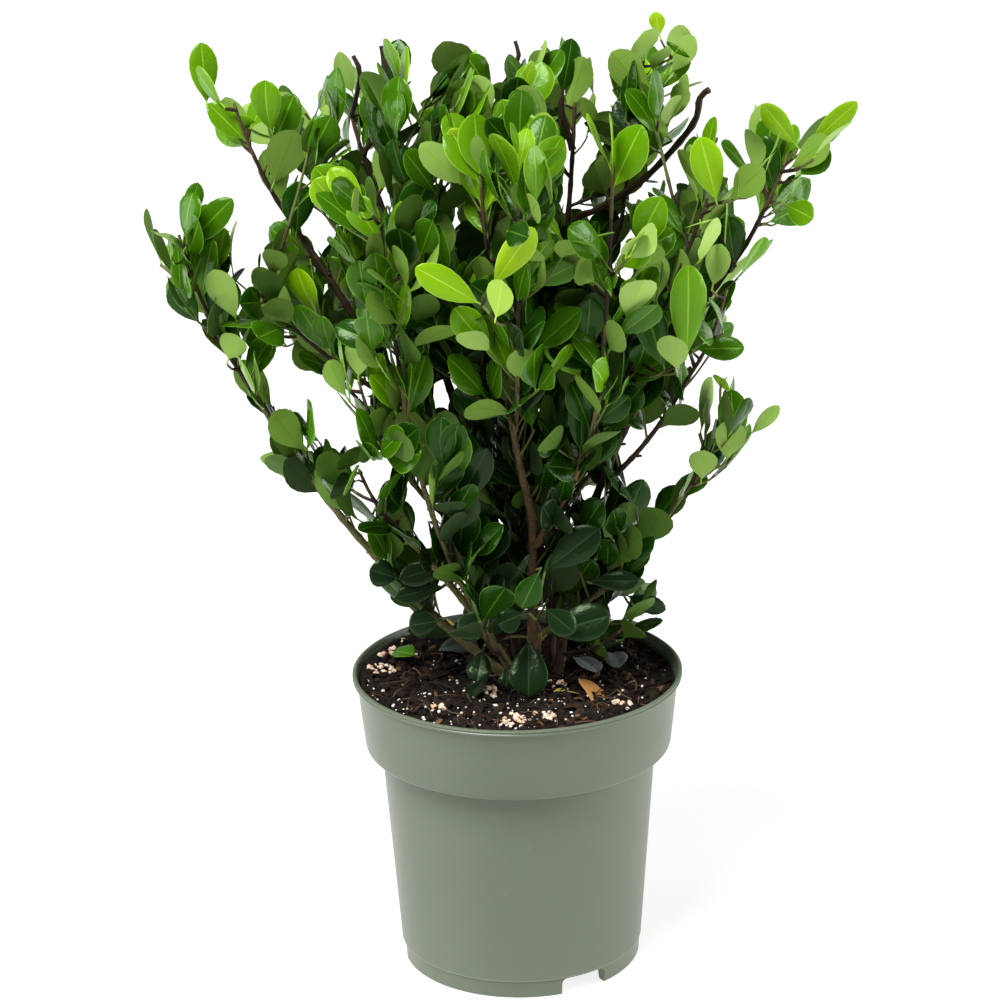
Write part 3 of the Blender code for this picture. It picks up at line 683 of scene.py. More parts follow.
def ring_rows(points: list[Vector], radii: list[float], sides: int) -> np.ndarray:
    """Rings of vertices round a path, turned as little as they can be.

    Args:
        points: The path.
        radii: The radius at each point.
        sides: Vertices in a ring.

    Returns:
        An array of rings by sides by three.
    """
    rows = np.zeros((len(points), sides, 3))
    across = (points[1] - points[0]).orthogonal().normalized()
    last = len(points) - 1
    turns = np.arange(sides) * math.tau / sides
    for index, point in enumerate(points):
        direction = (points[min(index + 1, last)] - points[max(index - 1, 0)]).normalized()
        across = (across - direction * across.dot(direction)).normalized()
        other = direction.cross(across)
        ring = np.outer(np.cos(turns), across) + np.outer(np.sin(turns), other)
        rows[index] = np.array(point) + radii[index] * ring
    return rows


def creased(mesh: bpy.types.Mesh, sharp: float) -> bpy.types.Mesh:
    """Make a mesh smooth, with creases.

    Args:
        mesh: The mesh.
        sharp: Angle past which an edge stays a crease, in degrees.

    Returns:
        The same mesh.
    """
    mesh.shade_smooth()
    mesh.set_sharp_from_angle(angle=math.radians(sharp))
    return mesh


def linked(name: str, data: bpy.types.ID) -> bpy.types.Object:
    """Put a new object in the scene.

    Args:
        name: Its name.
        data: What it shows.

    Returns:
        The object.
    """
    thing = bpy.data.objects.new(name, data)
    bpy.context.scene.collection.objects.link(thing)
    return thing


def turned(profile: list[tuple[float, float]], steps: int) -> bmesh.types.BMesh:
    """A body turned about the pot's axis.

    Args:
        profile: Its outline as radius and height.
        steps: Faces round it.

    Returns:
        The body, with its seam and poles closed.
    """
    shape = bmesh.new()
    corners = [shape.verts.new((radius, 0.0, height)) for radius, height in profile]
    edges = [shape.edges.new(pair) for pair in zip(corners, corners[1:])]
    bmesh.ops.spin(
        shape, geom=corners + edges, axis=UP, cent=(0.0, 0.0, 0.0), angle=math.tau,
        steps=steps, use_merge=True,
    )
    bmesh.ops.remove_doubles(shape, verts=shape.verts, dist=0.01 * MM)
    return shape


def show(name: str, mesh: bpy.types.Mesh, slot: str, *nodes: str) -> bpy.types.Object:
    """Link a finished mesh as a piece that stands for some nodes, and report it.

    Args:
        name: The piece's name.
        mesh: Its mesh, in place.
        slot: The record's material slot, which is not used.
        nodes: The nodes that it stands for.

    Returns:
        The piece.
    """
    piece = linked(name, mesh)
    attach(piece, BODY)
    if nodes:
        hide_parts(*nodes)
    log.info("%s: %d faces", name, len(mesh.polygons))
    return piece


def mesh_of(shape: bmesh.types.BMesh, name: str, sharp: float,
            *materials: bpy.types.Material) -> bpy.types.Mesh:
    """Turn a bmesh into a smooth mesh with sharp creases and its materials.

    Args:
        shape: The bmesh, which is freed.
        name: The mesh's name.
        sharp: Angle in degrees past which an edge is sharp.
        materials: The materials of its slots.

    Returns:
        The mesh.
    """
    mesh = bpy.data.meshes.new(name)
    shape.to_mesh(mesh)
    shape.free()
    for material in materials:
        mesh.materials.append(material)
    return creased(mesh, sharp)


def polar(azimuth: float, reach: float, height: float) -> Vector:
    """The point at an azimuth in degrees, a reach and a height."""
    angle = math.radians(azimuth)
    return Vector((reach * math.cos(angle), reach * math.sin(angle), height))


# Growth

@dataclass
class Path:
    """A line of growth with its radius at each point."""

    points: list[Vector]
    radii: list[float]

    @property
    def length(self) -> float:
        """The path's whole length."""
        return sum((high - low).length for low, high in zip(self.points, self.points[1:]))

    def at(self, share: float) -> tuple[Vector, Vector, float]:
        """Point, direction and radius at a share of the path.

        Args:
            share: From 0 at the foot to 1 at the tip, by the count of points.

        Returns:
            The point, the direction and the radius there.
        """
        place = share * (len(self.points) - 1)
        index = min(int(place), len(self.points) - 2)
        part = place - index
        low, high = self.points[index], self.points[index + 1]
        radius = self.radii[index] + (self.radii[index + 1] - self.radii[index]) * part
        return low.lerp(high, part), (high - low).normalized(), radius

    def smooth(self, step: float) -> "Path":
        """The same path as a flowing curve through its points.

        Args:
            step: The distance between the new points.

        Returns:
            The finer path.
        """
        points: list[Vector] = []
        radii: list[float] = []
        last = len(self.points) - 1
        for index in range(last):
            before = self.points[max(index - 1, 0)]
            low, high = self.points[index], self.points[index + 1]
            after = self.points[min(index + 2, last)]
            count = max(1, round((high - low).length / step))
            for part in (number / count for number in range(count)):
                points.append(flowing(before, low, high, after, part))
                radii.append(self.radii[index] + (self.radii[index + 1] - self.radii[index]) * part)
        points.append(self.points[-1].copy())
        radii.append(self.radii[-1])
        return Path(points, radii)

    def cut(self, share: float) -> "Path":
        """The path as far as a share of it."""
        end, _, radius = self.at(share)
        kept = max(1, math.ceil(share * (len(self.points) - 1)))
        return Path([*self.points[:kept], end], [*self.radii[:kept], radius])

    def samples(self, step: float = 2.0 * MM) -> np.ndarray:
        """Points and radii close together along the path, as rows of four numbers."""
        rows = []
        for low, high, thick, thin in zip(self.points, self.points[1:], self.radii, self.radii[1:]):
            count = max(1, math.ceil((high - low).length / step))
            for index in range(count + 1):
                part = index / count
                rows.append((*low.lerp(high, part), thick + (thin - thick) * part))
        return np.array(rows)


def flowing(before: Vector, low: Vector, high: Vector, after: Vector, part: float) -> Vector:
    """A point on the smooth curve through four points, between the middle two.

    Args:
        before: The point before.
        low: The point at part 0.
        high: The point at part 1.
        after: The point after.
        part: The share from low to high.

    Returns:
        The point.
    """
    square, cube = part * part, part ** 3
    return 0.5 * (
        2.0 * low
        + (high - before) * part
        + (2.0 * before - 5.0 * low + 4.0 * high - after) * square
        + (3.0 * low - before - 3.0 * high + after) * cube
    )


def turned_off(direction: Vector, turn: float, lean: float) -> Vector:
    """A direction that leans away from another, turned about it.

    Args:
        direction: The first direction.
        turn: The turn about it.
        lean: The angle away from it.

    Returns:
        The new direction.
    """
    side = direction.orthogonal().normalized()
    side.rotate(Matrix.Rotation(turn, 3, direction))
    return direction * math.cos(lean) + side * math.sin(lean)


@dataclass
class Twig:
    """A shoot or twig, what carries it, and how far along it is in use."""

    path: Path
    order: str
    parent: int | None = None
    place: float = 0.0
    used: float = 0.0


@dataclass
class Limbs:
    """The stems and boughs, grown from the collar by the tables."""

    collar: Vector = field(default_factory=lambda: Vector((8.0 * MM, 11.0 * MM, 150.0 * MM)))
    collar_radius: float = 13.5 * MM
    step: float = 26.0 * MM
    gap: float = 0.3 * MM
    flare: float = 0.45
    flare_length: float = 6.0 * MM

    def curve(self, start: Vector, end: Vector, bow: float) -> list[Vector]:
        """Points from start to end on one curve that sags outwards by bow.

        Args:
            start: The first point.
            end: The last point.
            bow: The sag as a share of the chord.

        Returns:
            The points.
        """
        chord = end - start
        outward = Vector((chord.x, chord.y, 0.0))
        steps = max(3, round(chord.length / self.step))
        if outward.length < MM:
            return [start + chord * step / steps for step in range(steps + 1)]
        side = chord.cross(UP).normalized()
        sag = side.cross(chord).normalized() * -bow * chord.length
        bend = start + 0.5 * chord + 2.0 * sag
        points = []
        for step in range(steps + 1):
            t = step / steps
            points.append((1 - t) ** 2 * start + 2 * t * (1 - t) * bend + t * t * end)
        return points

    @staticmethod
    def taper(points: list[Vector], thick: float, thin: float) -> list[float]:
        """Radii that taper evenly along a path."""
        last = len(points) - 1
        return [thick + (thin - thick) * step / last for step in range(last + 1)]

    def seat(self, path: Path, share: float, aim: Vector) -> Vector:
        """Where a new limb meets a parent.

        Args:
            path: The parent.
            share: The place along it.
            aim: The new limb's direction.

        Returns:
            The new limb's first point.
        """
        point, direction, radius = path.at(share)
        if share >= 1.0:
            return point + direction * self.gap
        away = (aim - direction * aim.dot(direction)).normalized()
        return point + away * (radius + self.gap)

    def stem(self, stem: Stem) -> Path:
        """The axis of one stem, from its flat cut on the soil."""
        start = self.collar.copy()
        if stem.foot is not None:
            start += polar(stem.foot, self.collar_radius, 0.0)
        points = self.curve(start, polar(stem.azimuth, stem.reach * MM, stem.height * MM), stem.bow)
        first = points[1] - points[0]
        points.insert(1, points[0] + first * (self.flare_length / first.length))
        radii = self.taper(points, stem.thick * MM, stem.thin * MM)
        radii[0] *= 1.0 + self.flare
        return Path(points, radii)

    def bough(self, bough: Bough, paths: dict[str, Path]) -> Path:
        """The axis of one bough, from the limb that carries it."""
        end = polar(bough.azimuth, bough.reach * MM, bough.height * MM)
        parent = paths[bough.parent]
        aim = (end - parent.at(bough.along)[0]).normalized()
        points = self.curve(self.seat(parent, bough.along, aim), end, bough.bow)
        return Path(points, self.taper(points, bough.thick * MM, bough.thin * MM))

    def grow(self) -> dict[str, Path]:
        """The paths of all stems and boughs, by name."""
        paths = {stem.name: self.stem(stem) for stem in STEMS}
        for bough in BOUGHS:
            paths[bough.name] = self.bough(bough, paths)
        return paths


@dataclass
class LimbBark:
    """A limb's skin: fine rings with ridges, nodes and the stubs of lost twigs."""

    GRAIN = "grain"

    sides: int = 18
    step: float = 1.2 * MM
    node_step: float = 13.0 * MM
    node_swell: float = 0.16
    node_width: float = 1.3 * MM
    ridge: float = 0.09
    buried: float = 5.0 * MM
    spur_step: float = 21.0 * MM
    spur_radius: float = 0.75 * MM
    spur_length: float = 3.2 * MM

    def rooted(self, path: Path, parent: Path | None, along: float) -> Path:
        """Carry a limb's foot into the soil or into its parent.

        Args:
            path: The limb.
            parent: The limb that carries it, or None for the soil.
            along: Its place on the parent.

        Returns:
            The longer path.
        """
        if parent is None:
            first = path.points[0] - UP * self.buried
            return Path([first, *path.points], [path.radii[0] * 1.25, *path.radii])
        inside = parent.at(min(along, 0.995))[0]
        collar = path.radii[0] * 1.22
        return Path([inside, *path.points], [collar, collar, *path.radii[1:]])

    def mesh(self, name: str, path: Path, finish: bpy.types.Material) -> bpy.types.Mesh:
        """The skin of one limb: a grid wrapped round its path and closed.

        Args:
            name: The limb's name.
            path: Its path, carried into what holds it.
            finish: Its bark.

        Returns:
            The mesh.
        """
        draw = random.Random(name)
        seed = draw.uniform(0.0, 50.0)
        fine = path.smooth(self.step)
        last = len(fine.points) - 1
        rings = ring_rows(fine.points, fine.radii, self.sides)
        centres = rows_of(fine.points)
        travelled = np.append(0.0, np.cumsum(np.linalg.norm(np.diff(centres, axis=0), axis=1)))
        shape = bmesh.new()
        grain = shape.verts.layers.float_vector.new(self.GRAIN)
        bmesh.ops.create_grid(shape, x_segments=self.sides, y_segments=last, size=0.5)
        for vert in shape.verts:
            side = round((vert.co.x + 0.5) * self.sides) % self.sides
            index = round((vert.co.y + 0.5) * last)
            turn, run = math.tau * side / self.sides, travelled[index]
            nearest = run - self.node_step * round(run / self.node_step)
            swell = self.node_swell * math.exp(-((nearest / self.node_width) ** 2))
            spot = Vector((math.cos(turn) * 1.6, math.sin(turn) * 1.6, run * 260.0 + seed))
            lift = 1.0 + swell + self.ridge * noise.fractal(spot, 0.8, 2.0, 3)
            radius = fine.radii[index]
            vert[grain] = (math.cos(turn) * radius, math.sin(turn) * radius, run)
            vert.co = Vector(centres[index] + (rings[index][side] - centres[index]) * lift)
        bmesh.ops.remove_doubles(shape, verts=shape.verts, dist=0.001 * MM)
        ends = [edge for edge in shape.edges if edge.is_boundary]
        bmesh.ops.holes_fill(shape, edges=ends, sides=self.sides)
        bmesh.ops.recalc_face_normals(shape, faces=shape.faces)
        self.spurs(shape, grain, fine, draw)
        return mesh_of(shape, name, 70.0, finish)

    def spurs(self, shape: bmesh.types.BMesh, grain: bmesh.types.BMLayerItem, path: Path,
              draw: random.Random) -> None:
        """Add the short stubs that lost twigs have left.

        Args:
            shape: Where they go.
            grain: The layer that the bark's pattern reads.
            path: The limb.
            draw: The limb's own random numbers.
        """
        count = int(path.length / self.spur_step)
        turn = draw.uniform(0.0, math.tau)
        for index in range(1, count):
            turn += GOLDEN_ANGLE
            point, direction, radius = path.at(index / count + draw.uniform(-0.01, 0.01))
            heading = turned_off(direction, turn, math.radians(draw.uniform(50.0, 70.0)))
            reach = radius + self.spur_length * draw.uniform(0.15, 1.0)
            place = Matrix.Translation(point + heading * 0.5 * reach)
            place @= heading.to_track_quat("Z", "X").to_matrix().to_4x4()
            stub = bmesh.ops.create_cone(
                shape, cap_ends=True, segments=8, radius1=self.spur_radius * 1.5,
                radius2=self.spur_radius * 0.8, depth=reach, matrix=place,
            )
            for vert in stub["verts"]:
                vert[grain] = vert.co


# Foliage

@dataclass
class Cell:
    """The long round space of a mass about its shoot."""

    name: str
    centre: Vector
    axis: Vector
    length: float
    girth: float
    top: float


@dataclass(frozen=True)
class Viewpoint:
    """The reference's camera: its place and turn, and the pixels that it sees."""

    eye: tuple[float, float, float] = (-7.3 * MM, -1685.6 * MM, 831.6 * MM)
    pitch: float = math.radians(19.05)
    roll: float = math.radians(-1.05)
    lens: float = 126.56
    sensor: float = 36.0
    side: float = 1000.0

    def axes(self) -> np.ndarray:
        """The camera's right, up and forward directions, a row each."""
        level = np.array(((1.0, 0.0, 0.0), (0.0, math.sin(self.pitch), math.cos(self.pitch)),
                          (0.0, math.cos(self.pitch), -math.sin(self.pitch))))
        c, s = math.cos(self.roll), math.sin(self.roll)
        return np.array(((c, s, 0.0), (-s, c, 0.0), (0.0, 0.0, 1.0))) @ level

    def seen(self, places: np.ndarray) -> tuple[np.ndarray, np.ndarray]:
        """The pixels at which points show.

        Args:
            places: Points, a row each.

        Returns:
            Their pixel columns and rows.
        """
        right, up, ahead = self.axes() @ (places - np.array(self.eye)).T
        focal = self.lens / self.sensor * self.side
        return 0.5 * self.side + focal * right / ahead, 0.5 * self.side - focal * up / ahead

    def place(self, column: float, row: float, depth: float) -> Vector:
        """The point that a pixel shows at a depth.

        Args:
            column: The pixel's column.
            row: The pixel's row.
            depth: The point's Y.

        Returns:
            The point.
        """
        focal = self.lens / self.sensor * self.side
        across, above = (column - 0.5 * self.side) / focal, (0.5 * self.side - row) / focal
        line = np.array((across, above, 1.0)) @ self.axes()
        return Vector(np.array(self.eye) + line * (depth - self.eye[1]) / line[1])


@dataclass
class FrontView:
    """The crown's outline and its windows of sky, as seen from the front, in pixels."""

    camera: Viewpoint = Viewpoint()
    slack: float = 6.0
    foot: float = 641.0
    bare_step: float = 3.0 * MM
    bare_width: float = 8.3

    def __post_init__(self) -> None:
        """Turn the tables into arrays, and the crown's reach into real places too."""
        self.rows, self.left, self.right = np.array(OUTLINE, dtype=float).T
        self.across, self.tops = np.array(TOP_LINE, dtype=float).T
        self.windows = np.array(SKY_WINDOWS, dtype=float)
        self.limbs = np.array([[0.0, 0.0, -1.0]])
        edges = [[self.camera.place(side, row, 0.0) for side in sides] for row, *sides in reversed(OUTLINE)]
        self.heights = np.array([low.z for low, _ in edges])
        self.reach = np.array([[low.x, high.x] for low, high in edges])

    def leave_bare(self, paths: dict[str, Path]) -> None:
        """Note the stretches of limb that nothing may cover from the front.

        Args:
            paths: The paths of limbs and shoots by name.
        """
        spots = []
        for name, low, high in BARE_LIMBS:
            steps = max(2, math.ceil((high - low) * paths[name].length / self.bare_step))
            spots += [paths[name].at(low + (high - low) * index / steps)[0] for index in range(steps + 1)]
        places = rows_of(spots)
        self.limbs = np.column_stack([*self.camera.seen(places), places[:, 1]])

    def clear(self, places: np.ndarray) -> bool:
        """Whether points stay inside the outline and out of the windows.

        Args:
            places: Points, a row each.

        Returns:
            True if all of them do.
        """
        u, v = self.camera.seen(places)
        if (v > self.foot).any() or (v < np.interp(u, self.across, self.tops) - self.slack).any():
            return False
        if (u < np.interp(v, self.rows, self.left) - self.slack).any():
            return False
        if (u > np.interp(v, self.rows, self.right) + self.slack).any():
            return False
        away = ((u[:, None] - self.windows[:, 0]) / self.windows[:, 2]) ** 2
        away += ((v[:, None] - self.windows[:, 1]) / self.windows[:, 3]) ** 2
        apart = (u[:, None] - self.limbs[:, 0]) ** 2 + (v[:, None] - self.limbs[:, 1]) ** 2
        covers = (apart < self.bare_width ** 2) & (places[:, 1][:, None] < self.limbs[:, 2])
        return bool((away > 1.0).all() and not covers.any())


def stands_off(places: np.ndarray, obstacles: np.ndarray, room: float) -> bool:
    """Whether places keep some room from limbs, which are given as points with radii."""
    reach = np.linalg.norm(places[:, None] - obstacles[:, :3], axis=2)
    return bool((reach - obstacles[:, 3] > room).all())


@dataclass
class Space:
    """The room that a mass may grow in, clear of limbs and other masses."""

    cell: Cell
    cells: list[Cell]
    obstacles: np.ndarray
    soil: float = 152.0 * MM
    cell_margin: float = 0.6 * MM
    limb_margin: float = 0.8 * MM

    def __post_init__(self) -> None:
        """Turn the cell and its neighbours into arrays."""
        self.centre = np.array(self.cell.centre)
        self.axis = np.array(self.cell.axis)
        self.others = np.array([other.centre for other in self.cells if other.name != self.cell.name])
        self.apart = np.linalg.norm(self.others - self.centre, axis=1)

    def holds(self, points: list[Vector], radius: float, spill: float = 0.0) -> bool:
        """Whether a body about some points stays in the space.

        Args:
            points: The points.
            radius: The body's radius about them.
            spill: How far it may stray into the neighbours' cells.

        Returns:
            True if it does.
        """
        places = rows_of(points)
        away = places - self.centre
        along = away @ self.axis
        across = np.linalg.norm(away - along[:, None] * self.axis, axis=1)
        if ((along / self.cell.length) ** 2 + (across / self.cell.girth) ** 2 > 1.0).any():
            return False
        if (places[:, 2] > self.cell.top).any() or (places[:, 2] < self.soil).any():
            return False
        mine = (away ** 2).sum(axis=1)
        theirs = ((places[:, None] - self.others) ** 2).sum(axis=2)
        margin = self.cell_margin + radius - spill
        if (theirs - mine[:, None] < 2.0 * self.apart * margin).any():
            return False
        return stands_off(places, self.obstacles, radius + self.limb_margin)


@dataclass
class OpenSpace:
    """The room round the limbs, inside the whole crown."""

    view: FrontView
    obstacles: np.ndarray
    top: float = 482.0 * MM
    soil: float = 160.0 * MM
    depth: float = 0.82
    limb_margin: float = 0.3 * MM

    def holds(self, points: list[Vector], radius: float, spill: float = 0.0) -> bool:
        """Whether a body about some points stays inside the crown and clear of the limbs.

        Args:
            points: The points.
            radius: The body's radius about them.
            spill: Not used here, as no other mass bounds this room.

        Returns:
            True if it does.
        """
        places = rows_of(points)
        if (places[:, 2] > self.top).any() or (places[:, 2] < self.soil).any():
            return False
        left, right = (np.interp(places[:, 2], self.view.heights, side) for side in self.view.reach.T)
        middle, half = 0.5 * (left + right), 0.5 * (right - left)
        if (((places[:, 0] - middle) / half) ** 2 + (places[:, 1] / (self.depth * half)) ** 2 > 1.15).any():
            return False
        return stands_off(places, self.obstacles, radius + self.limb_margin)


@dataclass
class Leaf:
    """One leaf: where it sits, how it faces and its form."""

    root: Vector
    heading: Vector
    blade_up: Vector
    length: float
    width: float
    tint: Tint
    fold: float
    bend: float
    twist: float
    wave: float
    shoulder: float = 0.5

    def corners(self) -> list[Vector]:
        """A plain outline of the leaf for the tests of its room."""
        side = self.heading.cross(self.blade_up).normalized()
        spots = [self.root + self.heading * 0.12 * self.length]
        for part, share in ((0.38, 0.40), (0.78, 0.46)):
            middle = self.root + self.heading * part * self.length
            spots += [middle + side * share * self.width, middle - side * share * self.width]
        return [*spots, self.root + self.heading * self.length]

    def spots(self) -> np.ndarray:
        """Points spread over the leaf for the tests of the view."""
        side = self.heading.cross(self.blade_up).normalized() * self.width
        rows = ((0.15, (0.0,)), (0.36, (-0.36, 0.0, 0.36)), (0.58, (-0.46, 0.0, 0.46)),
                (0.80, (-0.42, 0.0, 0.42)), (1.0, (0.0,)))
        return rows_of([self.root + self.heading * part * self.length + side * share
                        for part, shares in rows for share in shares])


class LeafShape:
    """The outline of one leaf as a thin closed body of a few dozen faces."""

    STATIONS = (0.0, 0.09, 0.23, 0.39, 0.56, 0.72, 0.86, 0.955, 1.0)
    ELLIPTIC = (0.06, 0.32, 0.70, 0.93, 1.0, 0.90, 0.64, 0.34, 0.06)
    OBOVATE = (0.06, 0.20, 0.48, 0.76, 0.96, 1.0, 0.82, 0.48, 0.08)
    COLUMNS = (-1.0, -0.95, -0.5, -0.05, 0.05, 0.5, 0.95, 1.0)
    RIB_COLUMNS = (0, 3, 6)
    THICKNESS = 0.32 * MM
    STALK = 3.0 * MM
    STALK_RADIUS = 0.55 * MM
    POLYGON = ((0, 1, 3, 5), (0, 5, 4, 2))

    def __init__(self) -> None:
        """Work out the faces once for all leaves."""
        wide, high = len(self.COLUMNS), len(self.STATIONS)
        self.faces: list[tuple[int, ...]] = []
        self.parts: list[int] = []
        for row in range(high - 1):
            for column in range(wide - 1):
                low = row * wide + column
                self.faces.append((low, low + 1, low + wide + 1, low + wide))
                part = LeafPart.RIB if column in self.RIB_COLUMNS else LeafPart.BLADE
                self.parts.append(part.value)
        base = wide * high
        for row in range(high - 1):
            here = [row * wide, *self.inner(row, base), row * wide + wide - 1]
            there = [(row + 1) * wide, *self.inner(row + 1, base), (row + 1) * wide + wide - 1]
            for column in range(3):
                face = (here[column], there[column], there[column + 1], here[column + 1])
                self.faces.append(face)
                part = LeafPart.RIB if column == 1 else LeafPart.UNDERSIDE
                self.parts.append(part.value)
        for row in (0, high - 1):
            for first in (0, 4):
                face = tuple(row * wide + first + step for step in range(4))
                self.faces.append(face if row else tuple(reversed(face)))
                self.parts.append(LeafPart.RIB.value)

    def inner(self, row: int, base: int) -> list[int]:
        """The two inner vertices of the underside in one row.

        Args:
            row: The row.
            base: The number of vertices of the upper side.

        Returns:
            Their vertex numbers.
        """
        wide = len(self.COLUMNS)
        if row in (0, len(self.STATIONS) - 1):
            return [row * wide + 3, row * wide + 4]
        return [base + (row - 1) * 2, base + (row - 1) * 2 + 1]

    def places(self, leaf: Leaf) -> np.ndarray:
        """The vertices of one leaf.

        Args:
            leaf: The leaf.

        Returns:
            Its vertices, a row each, the upper side's first.
        """
        heading = np.array(leaf.heading)
        side = np.cross(heading, np.array(leaf.blade_up))
        side /= np.linalg.norm(side)
        up = np.cross(side, heading)
        blade = leaf.length - self.STALK
        share = np.array(self.STATIONS)[:, None]
        turn = leaf.bend * share
        bend = leaf.bend if abs(leaf.bend) > 0.01 else 0.01
        ahead = self.STALK + blade * np.sin(turn) / bend
        sink = -blade * (1.0 - np.cos(turn)) / bend
        outline = np.array(self.ELLIPTIC) * (1.0 - leaf.shoulder) + np.array(self.OBOVATE) * leaf.shoulder
        half = 0.5 * leaf.width * outline[:, None]
        columns = np.array(self.COLUMNS)[None, :]
        spread = half * columns * math.cos(leaf.fold)
        ripple = leaf.wave * np.sin(3.2 * math.pi * share + 4.0 * leaf.twist) * np.abs(columns) ** 2
        rise = half * (np.abs(columns) * math.sin(leaf.fold) - 0.22 * columns ** 4) + ripple
        tilt = leaf.twist * share
        across = spread * np.cos(tilt) - rise * np.sin(tilt)
        above = spread * np.sin(tilt) + rise * np.cos(tilt)
        normal = np.sin(turn)[..., None] * heading + np.cos(turn)[..., None] * up
        top = np.array(leaf.root) + ahead[..., None] * heading + sink[..., None] * up
        top = top + across[..., None] * side + above[..., None] * normal
        below = top[1:-1, 3:5] - self.THICKNESS * normal[1:-1]
        return np.vstack([top.reshape(-1, 3), below.reshape(-1, 3)])


@dataclass
class Crown:
    """All twigs and leaves, grown on from the limbs mass by mass."""

    paths: dict[str, Path]
    view: FrontView = field(default_factory=FrontView)
    seat: float = 2.0 * MM
    clip_height: float = 470.0 * MM
    sprig_height: float = 500.0 * MM
    sprig: str = "foliage_right_top"
    slack: float = 16.0 * MM
    gap: float = 0.3 * MM
    shoot_share: float = 0.84
    shoot_steps: int = 3
    shoot_upturn: float = 0.26
    shoot_tip_radius: float = 0.8 * MM
    side_shoot_radius: float = 1.3 * MM
    twig_root_radius: float = 1.1 * MM
    twig_tip_radius: float = 0.7 * MM
    twig_lean: float = math.radians(52.0)
    twig_first: float = 0.15
    twig_last: float = 0.87
    twig_share: float = 0.60
    twig_shortening: float = 0.5
    twig_sag: float = 0.07
    twig_variety: tuple[float, float] = (0.8, 1.1)
    twig_tries: tuple[float, ...] = (1.0, 0.75, 0.5)
    twigs_per_metre: float = 46.0
    fine_step: float = 11.0 * MM
    fine_share: float = 0.55
    fine_lean: float = math.radians(42.0)
    fine_radius: tuple[float, float] = (0.62 * MM, 0.42 * MM)
    spill: float = 9.0 * MM
    leaf_length: float = 32.5 * MM
    leaf_ratio: tuple[float, float] = (0.47, 0.63)
    leaf_variety: tuple[float, float] = (0.70, 1.12)
    leaf_step: float = 7.2 * MM
    leaf_lean: tuple[float, float] = (math.radians(26.0), math.radians(56.0))
    leaf_upturn: float = 0.36
    leaf_upper_share: float = 0.76
    leaf_turn: float = math.radians(55.0)
    leaf_tries: int = 12
    tip_leans: tuple[float, ...] = (42.0, 28.0, 12.0)
    first_leaf: float = 5.0 * MM
    tint_limits: tuple[float, ...] = (0.33, 0.57, 0.75, 0.90, 1.04)
    spray_step: float = 8.0 * MM
    spray_length: tuple[float, float] = (9.0 * MM, 26.0 * MM)
    spray_lean: tuple[float, float] = (math.radians(35.0), math.radians(70.0))
    spray_foot: float = 172.0 * MM
    spray_radii: tuple[float, ...] = (0.8 * MM, 0.75 * MM, 0.6 * MM, 0.5 * MM)
    spray_tries: int = 6
    set_radii: tuple[float, ...] = (0.85 * MM, 0.7 * MM, 0.55 * MM)
    low_radii: tuple[float, ...] = (0.9 * MM, 0.75 * MM, 0.6 * MM)
    low_ratio: float = 0.68
    grid: float = 24.0 * MM

    def __post_init__(self) -> None:
        """Start with no leaves and no twigs."""
        self.leaves: dict[str, list[Leaf]] = defaultdict(list)
        self.twigs: list[Twig] = []
        self.trees: dict[tuple[int, int, int], list[tuple[Vector, BVHTree, int]]] = defaultdict(list)

    def shoot(self, mass: Mass, limbs: Limbs) -> Path:
        """The main shoot of a mass, which turns up towards the light.

        Args:
            mass: The mass.
            limbs: The rule that seats it on its limb.

        Returns:
            Its path.
        """
        limb = self.paths[mass.limb]
        _, direction, radius = limb.at(mass.along)
        if mass.along < 1.0:
            lift = math.radians(mass.lift)
            direction = polar(mass.azimuth, math.cos(lift), math.sin(lift))
            radius = self.side_shoot_radius
        points = [limbs.seat(limb, mass.along, direction)]
        step = self.shoot_share * mass.length * MM / self.shoot_steps
        for _ in range(self.shoot_steps):
            points.append(points[-1] + direction * step)
            direction = direction.lerp(UP, self.shoot_upturn).normalized()
        return Path(points, limbs.taper(points, radius, self.shoot_tip_radius))

    def cell(self, mass: Mass, shoot: Path) -> Cell:
        """The space that a mass may fill."""
        axis = (shoot.points[-1] - shoot.points[0]).normalized()
        centre = shoot.points[0] + axis * 0.5 * mass.length * MM
        top = self.sprig_height if mass.name == self.sprig else self.clip_height
        reach = 0.5 * mass.length * MM + self.slack
        return Cell(mass.name, centre, axis, reach, mass.girth * MM + self.slack, top)

    def side_twigs(self, mass: Mass, shoot: Path, space: Space) -> list[Path]:
        """Side twigs that leave the main shoot by turns and end inside the space.

        Args:
            mass: The mass.
            shoot: Its main shoot.
            space: Its room.

        Returns:
            The twigs' paths.
        """
        draw = random.Random(mass.name)
        count = max(2, round(mass.length * MM * self.twigs_per_metre))
        twigs = []
        turn = draw.uniform(0.0, math.tau)
        for index in range(count):
            share = self.twig_first + (self.twig_last - self.twig_first) * index / (count - 1)
            root, direction, _ = shoot.at(share)
            turn += GOLDEN_ANGLE
            heading = turned_off(direction, turn, self.twig_lean)
            length = self.twig_share * mass.length * MM * draw.uniform(*self.twig_variety)
            length *= 1.0 - self.twig_shortening * share
            for part in self.twig_tries:
                end = root + heading * length * part
                spots = [root.lerp(end, place) for place in (0.25, 0.5, 0.75, 1.0)]
                if space.holds(spots, self.twig_root_radius):
                    twigs += self.arched(root, end)
                    break
        return twigs

